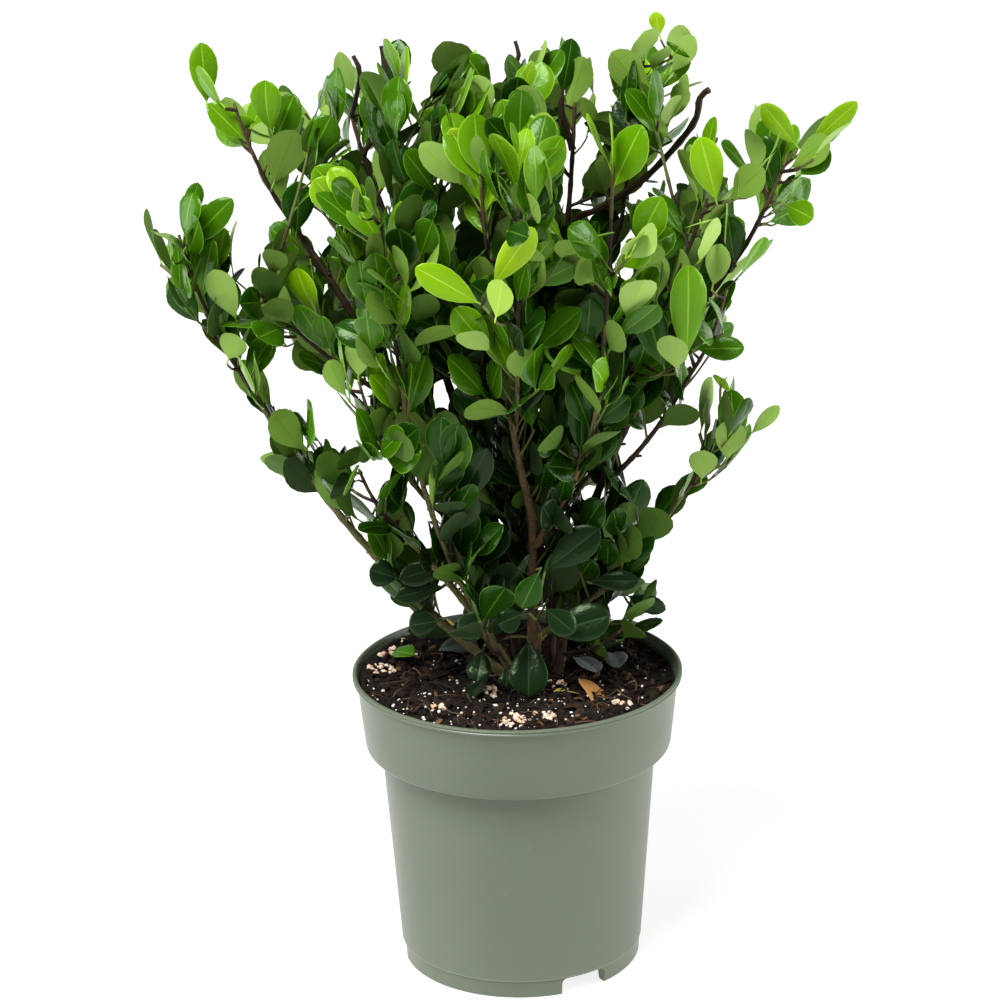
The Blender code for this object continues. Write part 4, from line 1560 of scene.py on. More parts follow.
    def arched(self, root: Vector, end: Vector) -> list[Path]:
        """A twig to a point, arched as twigs are, as far as the view leaves it room.

        Args:
            root: Where it starts.
            end: Where it would end.

        Returns:
            The twig, or nothing where it has no room.
        """
        sag = -UP * self.twig_sag * (end - root).length
        points = [root, root.lerp(end, 0.35) + sag, root.lerp(end, 0.7) + 0.8 * sag, end]
        radii = [self.twig_root_radius, 0.95 * MM, 0.8 * MM, self.twig_tip_radius]
        while len(points) > 2 and not self.view.clear(rows_of(points[1:])):
            points.pop()
            radii.pop()
        if self.view.clear(rows_of(points[1:])):
            return [Path(points, radii)]
        return []

    def fine_twigs(self, path: Path, space: Space, draw: random.Random) -> list[Path]:
        """Finer twigs that leave a shoot or a twig by turns and curve upwards.

        Args:
            path: What carries them.
            space: The mass's room.
            draw: The mass's own random numbers.

        Returns:
            Their paths.
        """
        total = path.length
        count = int((total - self.first_leaf) / self.fine_step)
        turn = draw.uniform(0.0, math.tau)
        twigs = []
        for index in range(count):
            share = (self.first_leaf + index * self.fine_step) / total
            root, direction, _ = path.at(share)
            turn += GOLDEN_ANGLE
            heading = turned_off(direction, turn, self.fine_lean)
            length = self.fine_share * total * draw.uniform(0.55, 1.0) * (1.0 - 0.55 * share)
            length = max(length, 9.0 * MM)
            for part in self.twig_tries:
                middle = root + heading * 0.5 * length * part
                end = middle + heading.lerp(UP, 0.3).normalized() * 0.5 * length * part
                spots = [root.lerp(middle, 0.6), middle, middle.lerp(end, 0.5), end]
                if space.holds(spots, self.fine_radius[0], self.spill) and self.view.clear(rows_of(spots)):
                    thick, thin = self.fine_radius
                    twigs.append(Path([root, middle, end], [thick, 0.5 * sum(self.fine_radius), thin]))
                    break
        return twigs

    def tone(self, place: Vector, share: float, luck: float) -> Tint:
        """Choose a leaf's tint by its height, its reach from the axis, its place on the twig and its spray's
        luck.

        Args:
            place: Where the leaf sits.
            share: How far along its twig it is.
            luck: The spray's own share of chance.

        Returns:
            The tint.
        """
        height = (place.z - 150.0 * MM) / (320.0 * MM)
        outward = min(1.0, math.hypot(place.x, place.y) / (40.0 * MM + 110.0 * MM * height))
        # Lower and inner leaves score lower and take darker tints as painted shade; high outer leaves take
        # paler ones, partly painted light
        score = 0.52 * height + 0.30 * outward + 0.10 * share + luck * (0.5 + 0.6 * height)
        for limit, tint in zip(self.tint_limits, Tint):
            if score < limit:
                return tint
        return Tint.YOUNG

    def has_room(self, leaf: Leaf, space: Space | OpenSpace, owner: int) -> bool:
        """Whether a leaf stays in its space and crosses no other leaf or twig.

        Args:
            leaf: The leaf.
            space: The mass's room.
            owner: The number of the twig that carries it.

        Returns:
            True if it has, and then its own outline is kept for later tests.
        """
        corners = leaf.corners()
        if not space.holds(corners[1:], 0.4 * MM, self.spill):
            return False
        if not self.view.clear(leaf.spots()):
            return False
        tree = BVHTree.FromPolygons(corners, LeafShape.POLYGON)
        middle = leaf.root + leaf.heading * 0.5 * leaf.length
        for place, other, twig in self.near(middle):
            if twig != owner and (place - middle).length < 40.0 * MM and tree.overlap(other):
                return False
        self.keep(middle, tree, -1)
        return True

    def near(self, place: Vector) -> list[tuple[Vector, BVHTree, int]]:
        """The outlines kept near a place."""
        x, y, z = (math.floor(value / self.grid) for value in place)
        found = []
        for i in (x - 1, x, x + 1):
            for j in (y - 1, y, y + 1):
                for k in (z - 1, z, z + 1):
                    found += self.trees.get((i, j, k), [])
        return found

    def keep(self, place: Vector, tree: BVHTree, owner: int) -> None:
        """Keep an outline for later tests."""
        spot = tuple(math.floor(value / self.grid) for value in place)
        self.trees[spot].append((place, tree, owner))

    def leaves_on(self, owner: int, space: Space | OpenSpace, mass: Mass, draw: random.Random) -> None:
        """Set leaves by turns along a twig, and closer at its tip.

        Args:
            owner: The twig's number.
            space: The room that they may fill.
            mass: The mass that they are joined with.
            draw: The mass's own random numbers.
        """
        twig = self.twigs[owner]
        path = twig.path
        total = path.length
        luck = draw.gauss(0.0, 0.14)
        count = max(0, int((total - self.first_leaf) / self.leaf_step))
        shares = [(self.first_leaf + index * self.leaf_step) / total for index in range(count)]
        leans = [draw.uniform(*self.leaf_lean) for _ in shares]
        shares += [0.94, 0.97, 1.0]
        leans += [math.radians(lean + draw.uniform(-6.0, 6.0)) for lean in self.tip_leans]
        turn = draw.uniform(0.0, math.tau)
        for share, lean in zip(shares, leans):
            turn += GOLDEN_ANGLE
            length = self.leaf_length * draw.triangular(*self.leaf_variety)
            if share > 0.99:
                length *= 0.8
            width = length * draw.uniform(*self.leaf_ratio)
            root, direction, radius = path.at(share)
            fold, bend = math.radians(draw.uniform(4.0, 22.0)), math.radians(draw.gauss(8.0, 16.0))
            twist, wave = math.radians(draw.gauss(0.0, 9.0)), draw.uniform(0.0, 0.6) * MM
            shift, shoulder = draw.gauss(0.0, 0.07), draw.random()
            side = 1.0 if draw.random() < self.leaf_upper_share else -1.0
            stray = Vector((draw.gauss(0.0, 0.3), draw.gauss(0.0, 0.3), draw.gauss(0.0, 0.2)))
            outward = math.atan2(root.y, root.x) + draw.gauss(0.0, self.leaf_turn)
            facing = side * polar(math.degrees(outward), 1.0, 0.0) + 0.4 * direction + 0.35 * UP + stray
            for attempt in range(self.leaf_tries):
                angle = turn + attempt * math.tau / self.leaf_tries
                heading = turned_off(direction, angle, lean).lerp(UP, self.leaf_upturn).normalized()
                leaf = Leaf(
                    root + heading * 0.5 * radius, heading, facing, length, width,
                    self.tone(root, share, luck + shift), fold, bend, twist, wave, shoulder,
                )
                if self.has_room(leaf, space, owner):
                    self.leaves[mass.name].append(leaf)
                    twig.used = max(twig.used, share)
                    break

    def grow(self, limbs: Limbs) -> None:
        """Grow every mass: shoot, side twigs, finer twigs and leaves.

        Args:
            limbs: The rule that seats shoots on limbs.
        """
        shoots = {mass.name: self.shoot(mass, limbs) for mass in MASSES}
        cells = [self.cell(mass, shoots[mass.name]) for mass in MASSES]
        self.cells = {cell.name: cell for cell in cells}
        self.shoots = shoots
        self.view.leave_bare({**self.paths, **shoots, **self.cuts()})
        known = [path.samples() for path in self.paths.values()]
        spaces = {}
        self.outer()
        self.hang()
        owned: list[tuple[Mass, int, random.Random]] = []
        for mass, cell in zip(MASSES, cells):
            others = [path.samples() for name, path in shoots.items() if name != mass.name]
            space = Space(cell, cells, np.vstack(known + others))
            spaces[mass.name] = space
            draw = random.Random(f"{mass.name} fine")
            first = len(self.twigs)
            self.add(Twig(shoots[mass.name], "shoot"))
            for twig in self.side_twigs(mass, shoots[mass.name], space):
                self.add(Twig(twig, "twig", first, self.place_on(shoots[mass.name], twig)))
            for parent in range(first, len(self.twigs)):
                carrier = self.twigs[parent].path
                for twig in self.fine_twigs(carrier, space, draw):
                    self.add(Twig(twig, "fine", parent, self.place_on(carrier, twig)))
            owned += [(mass, owner, draw) for owner in range(first, len(self.twigs))]
        for mass, owner, draw in sorted(owned, key=lambda row: -self.twigs[row[1]].path.length):
            self.leaves_on(owner, spaces[mass.name], mass, draw)
        self.inner()
        self.sprays()
        self.trim()

    @staticmethod
    def place_on(path: Path, twig: Path) -> float:
        """The share of a path at which a twig leaves it."""
        shares = [index / 40 for index in range(41)]
        return min(shares, key=lambda share: (path.at(share)[0] - twig.points[0]).length)

    def add(self, twig: Twig) -> None:
        """Take up a twig and keep its outline for later tests."""
        self.twigs.append(twig)
        self.keep_twig(twig.path, len(self.twigs) - 1)

    def trim(self) -> None:
        """Drop twigs that carry nothing and cut the rest where their last leaf sits."""
        for twig in reversed(self.twigs):
            if twig.used and twig.parent is not None:
                parent = self.twigs[twig.parent]
                parent.used = max(parent.used, twig.place)
            elif twig.used:
                self.hold_up(twig)
        self.twigs = [twig for twig in self.twigs if twig.used > 0.0]
        for twig in self.twigs:
            if twig.used < 0.9:
                twig.path = twig.path.cut(min(1.0, twig.used + 0.04))

    def hold_up(self, twig: Twig) -> None:
        """Keep a shoot as long as it has to be to carry a twig that starts on it."""
        for carrier in self.twigs:
            if carrier.order == "shoot" and carrier is not twig:
                share = self.place_on(carrier.path, twig.path)
                if (carrier.path.at(share)[0] - twig.path.points[0]).length < self.seat:
                    carrier.used = max(carrier.used, share)

    def below(self, place: Vector, drop: float, lead: float) -> Vector:
        """The nearest point of a limb, shoot or set twig from which a twig may rise to a place."""
        lower = (end for end in self.ends if end.z < place.z - drop)
        return min(lower, key=lambda end: (end - place + lead * UP).length)

    def cuts(self) -> dict[str, Path]:
        """Add the pruned limbs and give their paths by name."""
        known = [*self.paths.values(), *self.shoots.values()]
        self.ends = [path.at(index / 12)[0] for path in known for index in range(13)]
        paths = {}
        for name, rows, radius in CUT_LIMBS:
            points = [self.view.camera.place(column, row, depth * MM) for column, row, depth in rows]
            points.insert(0, self.below(points[0], 8 * MM, 22 * MM))
            paths[name] = Path(points, [radius * MM] * len(points))
            self.add(Twig(paths[name], "cut", used=1.0))
        return paths

    def inner(self) -> None:
        """Grow the inner shoots that fill the crown's middle, with finer twigs and leaves."""
        space = OpenSpace(self.view, np.vstack([path.samples() for path in self.paths.values()]))
        for tip in INNER_TIPS:
            draw = random.Random(f"inner {tip}")
            end = Vector(tip) * MM
            root = self.below(end, 36 * MM, 60 * MM)
            for path in self.arched(root, end):
                first = len(self.twigs)
                self.add(Twig(path, "twig"))
                for twig in self.fine_twigs(path, space, draw):
                    self.add(Twig(twig, "fine", first, self.place_on(path, twig)))
                for owner in range(first, len(self.twigs)):
                    self.leaves_on(owner, space, self.nearest(end), draw)

    def outer(self) -> None:
        """Set the leaves that give the crown its outline, each on a twig from the nearest limb."""
        camera = self.view.camera
        rows = [(tint, side, row) for (tint, side), group in SET_LEAVES.items() for row in group]
        for tint, side, row in sorted(rows, key=lambda row: -row[2][1]):
            root, tip = camera.place(row[0], row[1], row[2] * MM), camera.place(row[3], row[4], row[5] * MM)
            heading = (tip - root).normalized()
            start = self.below(root, 3 * MM, 0.0)
            bend = start.lerp(root, 0.55) - heading * 0.1 * (root - start).length
            self.add(Twig(Path([start, bend, root], list(self.set_radii)), "twig", used=1.0))
            self.ends.append(root)
            turn, bend = math.sin(7.0 * tip.x / (30 * MM)), 0.14 + 0.2 * math.cos(tip.z / (5 * MM))
            facing = Vector((0.5 * turn, -1.0, 0.35)) * side
            leaf = Leaf(
                root, heading, facing, (tip - root).length * 1.04, row[6] * MM, tint,
                0.2, bend, 0.12 + 0.1 * turn, 0.3 * MM, 0.45,
            )
            self.keep(root.lerp(tip, 0.5), BVHTree.FromPolygons(leaf.corners(), LeafShape.POLYGON), -1)
            self.leaves[self.nearest(root).name].append(leaf)

    def sprays(self) -> None:
        """Grow short leafy sprays along the limbs themselves."""
        space = OpenSpace(self.view, np.vstack([path.samples() for path in self.paths.values()]))
        for name, limb in self.paths.items():
            draw = random.Random(f"{name} sprays")
            total = limb.length
            turn = draw.uniform(0.0, math.tau)
            for index in range(int(total / self.spray_step)):
                turn += GOLDEN_ANGLE
                root, direction, radius = limb.at(min(1.0, (index + 0.5) * self.spray_step / total))
                if root.z < self.spray_foot:
                    continue
                length = draw.uniform(*self.spray_length)
                lean = draw.uniform(*self.spray_lean)
                for attempt in range(self.spray_tries):
                    heading = turned_off(direction, turn + attempt * math.tau / self.spray_tries, lean)
                    heading = heading.lerp(UP, self.leaf_upturn).normalized()
                    first = root + heading * radius
                    end = first + heading * length + UP * 0.15 * length
                    middle = first.lerp(end, 0.5) - UP * 0.05 * length
                    spots = [middle, end]
                    if space.holds(spots, self.fine_radius[0]) and self.view.clear(rows_of(spots)):
                        self.add(Twig(Path([root, first, middle, end], list(self.spray_radii)), "fine"))
                        self.leaves_on(len(self.twigs) - 1, space, self.nearest(root), draw)
                        break

    def nearest(self, place: Vector) -> Mass:
        """The mass whose cell is nearest to a place."""
        return min(MASSES, key=lambda mass: (self.cells[mass.name].centre - place).length)

    def hang(self) -> None:
        """Hang the few low leaves that droop over the soil from the feet of the stems."""
        for x, y, height, azimuth, tilt, length in LOW_LEAVES:
            root, fall = Vector((x, y, height)) * MM, math.radians(tilt)
            heading = polar(azimuth, math.cos(fall), math.sin(fall))
            start = min((point for path in self.paths.values() for point in path.points[:4]),
                        key=lambda point: (point + 8 * MM * UP - root).length)
            middle = start.lerp(root, 0.5) + 2 * MM * UP
            self.add(Twig(Path([start, middle, root], list(self.low_radii)), "twig", used=1.0))
            width = self.low_ratio * length * MM
            leaf = Leaf(root, heading, UP, length * MM, width, Tint.SHADE, 0.3, 0.35, 0.1, 0.4 * MM)
            self.leaves["foliage_foot_front"].append(leaf)

    def keep_twig(self, path: Path, owner: int) -> None:
        """Keep a twig's outline for later tests."""
        for low, high, radius in zip(path.points, path.points[1:], path.radii):
            rings = ring_rows([low, high], [radius, radius], 3).reshape(-1, 3)
            faces = [(side, (side + 1) % 3, (side + 1) % 3 + 3, side + 3) for side in range(3)]
            tree = BVHTree.FromPolygons([Vector(row) for row in rings], faces)
            self.keep(low.lerp(high, 0.5), tree, owner)


def rows_of(points: list[Vector]) -> np.ndarray:
    """Points as an array, a row each."""
    return np.array([tuple(point) for point in points])


@dataclass
class Foliage:
    """Dresses the crown: leaves joined by side, twigs joined in one piece."""

    crown: Crown
    sides: int = 6
    twig_step: float = 4.0 * MM

    def dress(self) -> None:
        """Build and show the pieces."""
        tints = list(Tint)
        finishes = [material for tint in tints for material in tint.value.make()]
        shape = LeafShape()
        groups: dict[str, list[str]] = defaultdict(list)
        for mass in MASSES:
            groups[self.group(mass.name)].append(mass.name)
        total = 0
        for group, names in sorted(groups.items()):
            batch = Batch(f"leaves_{group}", finishes)
            for name in names:
                for leaf in self.crown.leaves[name]:
                    first = 3 * tints.index(leaf.tint)
                    batch.add(shape.places(leaf), shape.faces, [first + part for part in shape.parts])
                    self.stalk(batch, leaf, first + LeafPart.RIB.value)
                    total += 1
            show(batch.name, batch.mesh(), "leaves", *names)
        log.info("leaves in all: %d", total)
        self.dress_twigs()

    @staticmethod
    def group(name: str) -> str:
        """The side of the crown that a mass is joined with."""
        for side in ("left", "right", "front", "back", "core"):
            if name.split("_")[1] == side:
                return side
        return "foot" if "_foot" in name else "center"

    def stalk(self, batch: Batch, leaf: Leaf, slot: int) -> None:
        """Add the short stalk that joins a leaf to its twig.

        Args:
            batch: Where it goes.
            leaf: The leaf.
            slot: Its material number.
        """
        end = leaf.root + leaf.heading * (LeafShape.STALK * 1.5)
        points = [leaf.root - leaf.heading * 0.5 * MM, end]
        batch.tube(points, [LeafShape.STALK_RADIUS, LeafShape.STALK_RADIUS * 0.7], 3, [slot])

    def dress_twigs(self) -> None:
        """Build and show the twigs as one piece that stands for all masses."""
        tints = (
            ("twig_dark", (0.035, 0.020, 0.013), 0.6), ("twig_brown", (0.085, 0.052, 0.026), 0.6),
            ("twig_green", (0.120, 0.135, 0.035), 0.5),
        )
        batch = Batch("twigs", [PlainFinish(*tint, 1400.0, 2.0, 0.15 * MM, 0.6).make() for tint in tints])
        for twig in self.crown.twigs:
            fine = twig.path.smooth(self.twig_step)
            last = len(fine.points) - 1
            for index in range(len(fine.radii)):
                fine.radii[index] *= 1.0 + 0.12 * math.cos(index * 2.1)
            young = {"cut": 9.0, "shoot": 0.9, "twig": 0.5, "fine": 0.12}[twig.order]
            shares = [index / last for index in range(last)]
            slots = [0 if share < young * 0.7 else 1 if share < young else 2 for share in shares]
            batch.tube(fine.points, fine.radii, self.sides, slots)
        show(batch.name, batch.mesh(50.0), "bark", *[mass.name for mass in MASSES])


# The pot

@dataclass
class Pot:
    """The nursery pot, turned with a rolled lip, a band, a taper and a notched foot."""

    segments: int = 160
    notch_angles: tuple[float, ...] = (-59.0, 61.0, 181.0)
    notch_width: float = 26.0 * MM
    notch_top: float = 9.0 * MM
    foot_radius: float = 61.9 * MM
    foot_ring: float = 5.0 * MM
    drain_count: int = 6
    drain_radius: float = 4.5 * MM
    drain_circle: float = 38.0 * MM

    PROFILE = (
        (0.0, 0.0), (13.4, 0.0), (14.0, 0.5), (16.0, 8.6), (54.9, 8.6), (56.7, 0.5), (57.2, 0.0),
        (61.3, 0.0), (61.9, 0.6), (62.35, 8.9), (62.5, 9.35), (63.0, 9.55), (63.15, 9.9), (63.1, 10.4),
        (66.9, 62.0), (70.85, 114.6), (70.98, 116.5), (71.4, 117.3), (72.3, 117.6), (76.8, 117.7),
        (78.0, 118.1), (78.8, 119.0), (79.2, 120.4), (81.0, 137.0), (82.7, 153.8), (83.0, 154.5),
        (84.2, 154.8), (84.85, 155.2), (85.0, 155.8), (84.6, 156.2), (84.6, 156.5), (85.0, 156.9),
        (84.95, 157.5), (84.5, 157.9), (84.0, 158.0), (83.4, 158.0), (83.0, 157.7), (82.8, 157.0),
        (81.6, 154.0), (77.7, 120.4), (77.2, 119.4), (76.2, 119.1), (69.9, 119.1), (69.4, 118.6),
        (69.3, 117.5),
        (61.7, 11.4), (61.0, 10.5), (60.2, 10.4), (0.0, 10.4),
    )

    def wall(self) -> bpy.types.Mesh:
        """Spin the outline about the pot's axis."""
        shape = turned([(radius * MM, height * MM) for radius, height in self.PROFILE], self.segments)
        bmesh.ops.recalc_face_normals(shape, faces=shape.faces)
        mesh = bpy.data.meshes.new("pot_wall")
        shape.to_mesh(mesh)
        shape.free()
        return mesh

    def notch(self, azimuth: float) -> bmesh.types.BMesh:
        """A block with rounded upper corners that cuts one drainage arch."""
        shape = bmesh.new()
        place = (
            Matrix.Rotation(math.radians(azimuth), 4, "Z")
            @ Matrix.Translation((self.foot_radius - self.foot_ring / 2, 0.0, self.notch_top / 2 - MM))
            @ Matrix.Diagonal((4 * self.foot_ring, self.notch_width, self.notch_top + 2 * MM, 1.0))
        )
        bmesh.ops.create_cube(shape, size=1.0, matrix=place)
        upper = [
            edge for edge in shape.edges
            if all(vert.co.z > 0.5 * self.notch_top for vert in edge.verts)
            and (edge.verts[0].co - edge.verts[1].co).length < self.notch_width * 0.9
        ]
        bmesh.ops.bevel(
            shape, geom=upper, offset=3.0 * MM, affect="EDGES", segments=4, profile=0.5, material=-1,
        )
        return shape

    def drain(self, index: int) -> bmesh.types.BMesh:
        """A round peg that cuts one drain hole."""
        shape = bmesh.new()
        azimuth = 360.0 * (index + 0.5) / self.drain_count
        bmesh.ops.create_cone(
            shape, cap_ends=True, segments=32, radius1=self.drain_radius, radius2=self.drain_radius,
            depth=8 * MM, matrix=Matrix.Translation(polar(azimuth, self.drain_circle, 9.5 * MM)),
        )
        return shape

    def dress(self) -> None:
        """Cut the notches and drain holes, and show the pot."""
        pot = linked("pot_raw", self.wall())
        tools = []
        shapes = [self.notch(azimuth) for azimuth in self.notch_angles]
        shapes += [self.drain(index) for index in range(self.drain_count)]
        for index, shape in enumerate(shapes):
            mesh = bpy.data.meshes.new(f"cut_{index}")
            shape.to_mesh(mesh)
            shape.free()
            tool = linked(f"cut_{index}", mesh)
            cut = pot.modifiers.new(tool.name, "BOOLEAN")
            cut.operation, cut.object, cut.solver = "DIFFERENCE", tool, "EXACT"
            tools.append(tool)
        evaluated = pot.evaluated_get(bpy.context.evaluated_depsgraph_get())
        mesh = bpy.data.meshes.new_from_object(evaluated)
        for thing in [pot, *tools]:
            bpy.data.objects.remove(thing, do_unlink=True)
        mesh.materials.clear()
        mesh.materials.append(PotFinish().make())
        show("pot_plastic_shell", creased(mesh, 38.0), "pot_plastic", "pot")


# The soil

class Grit(Enum):
    """What lies loose on the soil, with its tints."""

    CRUMB = ((0.006, 0.0038, 0.0024), (0.011, 0.0065, 0.0038), (0.024, 0.014, 0.0075))
    PERLITE = ((0.80, 0.77, 0.70), (0.70, 0.60, 0.48))
    PEACH = ((0.72, 0.45, 0.30), (0.80, 0.62, 0.47))
    CHIP = ((0.040, 0.020, 0.010), (0.15, 0.075, 0.03), (0.014, 0.008, 0.005))
    FIBRE = ((0.030, 0.017, 0.009), (0.12, 0.07, 0.035), (0.010, 0.007, 0.005))


@dataclass(frozen=True)
class FallenLeaf:
    """A leaf that lies on the soil."""

    x: float
    y: float
    azimuth: float
    tilt: float
    length: float
    bend: float
    tint: LeafTint


YELLOWED = LeafTint("yellowed", (0.50, 0.42, 0.06), (0.60, 0.52, 0.15), (0.48, 0.42, 0.10), 0.4)
SILVERED = LeafTint("silvered", (0.11, 0.13, 0.12), (0.20, 0.21, 0.18), (0.16, 0.18, 0.17), 0.42)
WITHERED = LeafTint("withered", (0.42, 0.20, 0.06), (0.50, 0.28, 0.10), (0.36, 0.18, 0.07), 0.6)

FALLEN = (
    FallenLeaf(-58, 62, 10, 8, 30, 0.9, YELLOWED),
    FallenLeaf(-38, 56, 352, 14, 30, 0.5, SILVERED),
    FallenLeaf(-44, 34, 15, 12, 26, 0.6, SILVERED),
    FallenLeaf(-28, 15, 340, 4, 28, 1.5, YELLOWED),
    FallenLeaf(-66, 30, 300, 26, 22, 0.5, Tint.MID.value),
    FallenLeaf(16, -24, 30, 6, 28, 1.7, YELLOWED),
    FallenLeaf(30, -4, 300, 10, 30, 0.9, WITHERED),
    FallenLeaf(26, 26, 310, 14, 28, 0.6, SILVERED),
    FallenLeaf(48, 30, 285, 20, 26, 0.7, SILVERED),
    FallenLeaf(-16, -2, 250, 10, 26, 0.7, Tint.SHADE.value),
    FallenLeaf(60, 44, 200, 12, 24, 0.8, Tint.SHADE.value),
)


@dataclass
class Soil:
    """The potting mix: a rough bed with crumbs, perlite, chips, fibres and fallen leaves."""

    top: float = 150.4 * MM
    edge: float = 153.0 * MM
    slope: float = 1.5 * MM
    radius: float = 81.0 * MM
    relief: float = 2.4 * MM
    rings: int = 46
    spokes: int = 132
    crumbs: int = 2600
    perlite: int = 620
    chips: int = 170
    fibres: int = 190
    leaf_ratio: float = 0.52
    leaf_fold: float = math.radians(24.0)
    peach_heaps: tuple[tuple[float, float, float, int], ...] = (
        (-72, 34, 8, 34), (-70, 10, 8, 30), (-64, 50, 6, 16), (-14, -16, 6, 20), (-2, -58, 7, 24),
        (-40, -40, 5, 12), (20, -10, 5, 10), (14, -52, 6, 14), (52, -36, 5, 8),
    )

    unset: float = 1.0

    WALL = ((77.0, 121.0), (69.0, 118.9), (61.0, 10.9), (0.0, 10.9))

    def height(self, x: float, y: float) -> float:
        """The bed's height at a place.

        Args:
            x: The place's X.
            y: The place's Y.

        Returns:
            The height.
        """
        away = min(1.0, math.hypot(x, y) / self.radius)
        level = self.top + (self.edge - self.top - self.slope * (x - 0.4 * y) / self.radius) * away ** 2
        broad = noise.noise(Vector((x * 38.0, y * 38.0, 3.0))) * 0.55
        fine = noise.fractal(Vector((x * 150.0, y * 150.0, 7.0)), 0.7, 2.1, 4) * 0.5
        return level + self.relief * (broad + fine) * (1.0 - 0.5 * away ** 8)

    def bed(self) -> None:
        """Build and show the bed: a rough disc with a wall down to the pot's floor."""
        profile = [(self.radius * ring / self.rings, self.unset) for ring in range(self.rings + 1)]
        profile += [(radius * MM, height * MM) for radius, height in self.WALL]
        shape = turned(profile, self.spokes)
        for vert in shape.verts:
            if vert.co.z > self.top * 2:
                vert.co.z = self.height(vert.co.x, vert.co.y)
        bmesh.ops.recalc_face_normals(shape, faces=shape.faces)
        show("soil_bed", mesh_of(shape, "soil_bed", 80.0, EarthFinish().make()), "soil", "soil")

    def scatter(self, draw: random.Random, count: int, reach: float = 0.97) -> list[tuple[float, float]]:
        """Places spread evenly over the bed.

        Args:
            draw: The random numbers.
            count: How many places.
            reach: The share of the bed's radius that they fill.

        Returns:
            The places.
        """
        places = []
        for _ in range(count):
            away = reach * self.radius * math.sqrt(draw.random())
            turn = draw.uniform(0.0, math.tau)
            places.append((away * math.cos(turn), away * math.sin(turn)))
        return places

    def lump(self, batch: Batch, body: tuple[np.ndarray, list[tuple[int, ...]]], place: Vector,
             size: tuple[float, float, float], jitter: float, slot: int, draw: random.Random) -> None:
        """Add one lump, turned at random and dented.

        Args:
            batch: Where it goes.
            body: Its plain form, as vertices and faces.
            place: Its middle.
            size: Its half sizes along its own axes.
            jitter: How far its corners stray, as a share.
            slot: Its material number.
            draw: The random numbers.
        """
        verts, faces = body
        spin = np.array(
            Matrix.Rotation(draw.uniform(0.0, math.tau), 3, "Z")
            @ Matrix.Rotation(draw.gauss(0.0, 0.35), 3, "X")
            @ Matrix.Rotation(draw.gauss(0.0, 0.35), 3, "Y")
        )
        dents = np.array([[1.0 + draw.uniform(-jitter, jitter) for _ in range(3)] for _ in verts])
        batch.add(verts * dents * np.array(size) @ spin.T + np.array(place), faces, [slot] * len(faces))

    @staticmethod
    def ball() -> tuple[np.ndarray, list[tuple[int, ...]]]:
        """A plain round body of twenty faces."""
        shape = bmesh.new()
        bmesh.ops.create_icosphere(shape, subdivisions=1, radius=1.0)
        return Soil.arrays(shape)

    @staticmethod
    def flake() -> tuple[np.ndarray, list[tuple[int, ...]]]:
        """A plain flat body with bevelled edges."""
        shape = bmesh.new()
        bmesh.ops.create_cube(shape, size=2.0)
        bmesh.ops.bevel(
            shape, geom=list(shape.edges), offset=0.35, affect="EDGES", segments=1, profile=0.5, material=-1,
        )
        return Soil.arrays(shape)

    @staticmethod
    def arrays(shape: bmesh.types.BMesh) -> tuple[np.ndarray, list[tuple[int, ...]]]:
        """A bmesh as vertices and faces, and free it."""
        shape.verts.index_update()
        verts = np.array([tuple(vert.co) for vert in shape.verts])
        faces = [tuple(vert.index for vert in face.verts) for face in shape.faces]
        shape.free()
        return verts, faces

    def batch(self, grit: Grit, depth: float) -> Batch:
        """A batch with the tints of one kind of grit."""
        finishes = [
            PlainFinish(f"{grit.name.lower()}_{index}", tint, depth=depth).make()
            for index, tint in enumerate(grit.value)
        ]
        return Batch(f"soil_{grit.name.lower()}", finishes)

    def loose(self) -> None:
        """Build and show all that lies loose on the bed."""
        draw = random.Random("soil")
        ball, flake = self.ball(), self.flake()
        crumbs = self.batch(Grit.CRUMB, 0.6 * MM)
        for x, y in self.scatter(draw, self.crumbs, 0.985):
            size = MM * min(3.4, 0.7 + draw.expovariate(1.1))
            form = (size, size * draw.uniform(0.5, 0.95), size * draw.uniform(0.4, 0.8))
            place = Vector((x, y, self.height(x, y) + 0.3 * size))
            self.lump(crumbs, ball, place, form, 0.28, draw.choice((0, 0, 1, 1, 2)), draw)
        show(crumbs.name, crumbs.mesh(40.0), "soil")
        white = self.batch(Grit.PERLITE, 0.4 * MM)
        for x, y in self.scatter(draw, self.perlite):
            if draw.random() < 0.65 and y > -15 * MM:
                continue
            size = MM * draw.triangular(0.25, 1.3, 0.4)
            place = Vector((x, y, self.height(x, y) + 0.8 * size + 0.8 * MM * draw.random()))
            form = (size, size * 0.85, size * 0.75)
            self.lump(white, ball, place, form, 0.22, draw.choice((0, 0, 1)), draw)
        show(white.name, white.mesh(50.0), "soil")
        peach = self.batch(Grit.PEACH, 0.5 * MM)
        for x, y, reach, count in self.peach_heaps:
            for _ in range(count):
                away, turn = reach * MM * math.sqrt(draw.random()), draw.uniform(0.0, math.tau)
                px, py = x * MM + away * math.cos(turn), y * MM + away * math.sin(turn)
                if math.hypot(px, py) > 0.96 * self.radius:
                    continue
                size = MM * draw.triangular(0.7, 2.7, 1.2)
                pile = 2.4 * MM * (1.0 - away / (reach * MM)) * draw.random()
                place = Vector((px, py, self.height(px, py) + 0.6 * size + pile))
                self.lump(peach, ball, place, (size, size * 0.8, size * 0.7), 0.3, draw.choice((0, 1)), draw)
        show(peach.name, peach.mesh(50.0), "soil")
        chips = self.batch(Grit.CHIP, 0.5 * MM)
        for x, y in self.scatter(draw, self.chips, 0.95):
            size = MM * draw.triangular(1.2, 6.0, 2.2)
            place = Vector((x, y, self.height(x, y) + 0.9 * MM))
            form = (size, size * draw.uniform(0.25, 0.5), MM * draw.uniform(0.35, 0.8))
            self.lump(chips, flake, place, form, 0.16, draw.choice((0, 0, 1, 2, 2, 2)), draw)
        show(chips.name, chips.mesh(40.0), "soil")
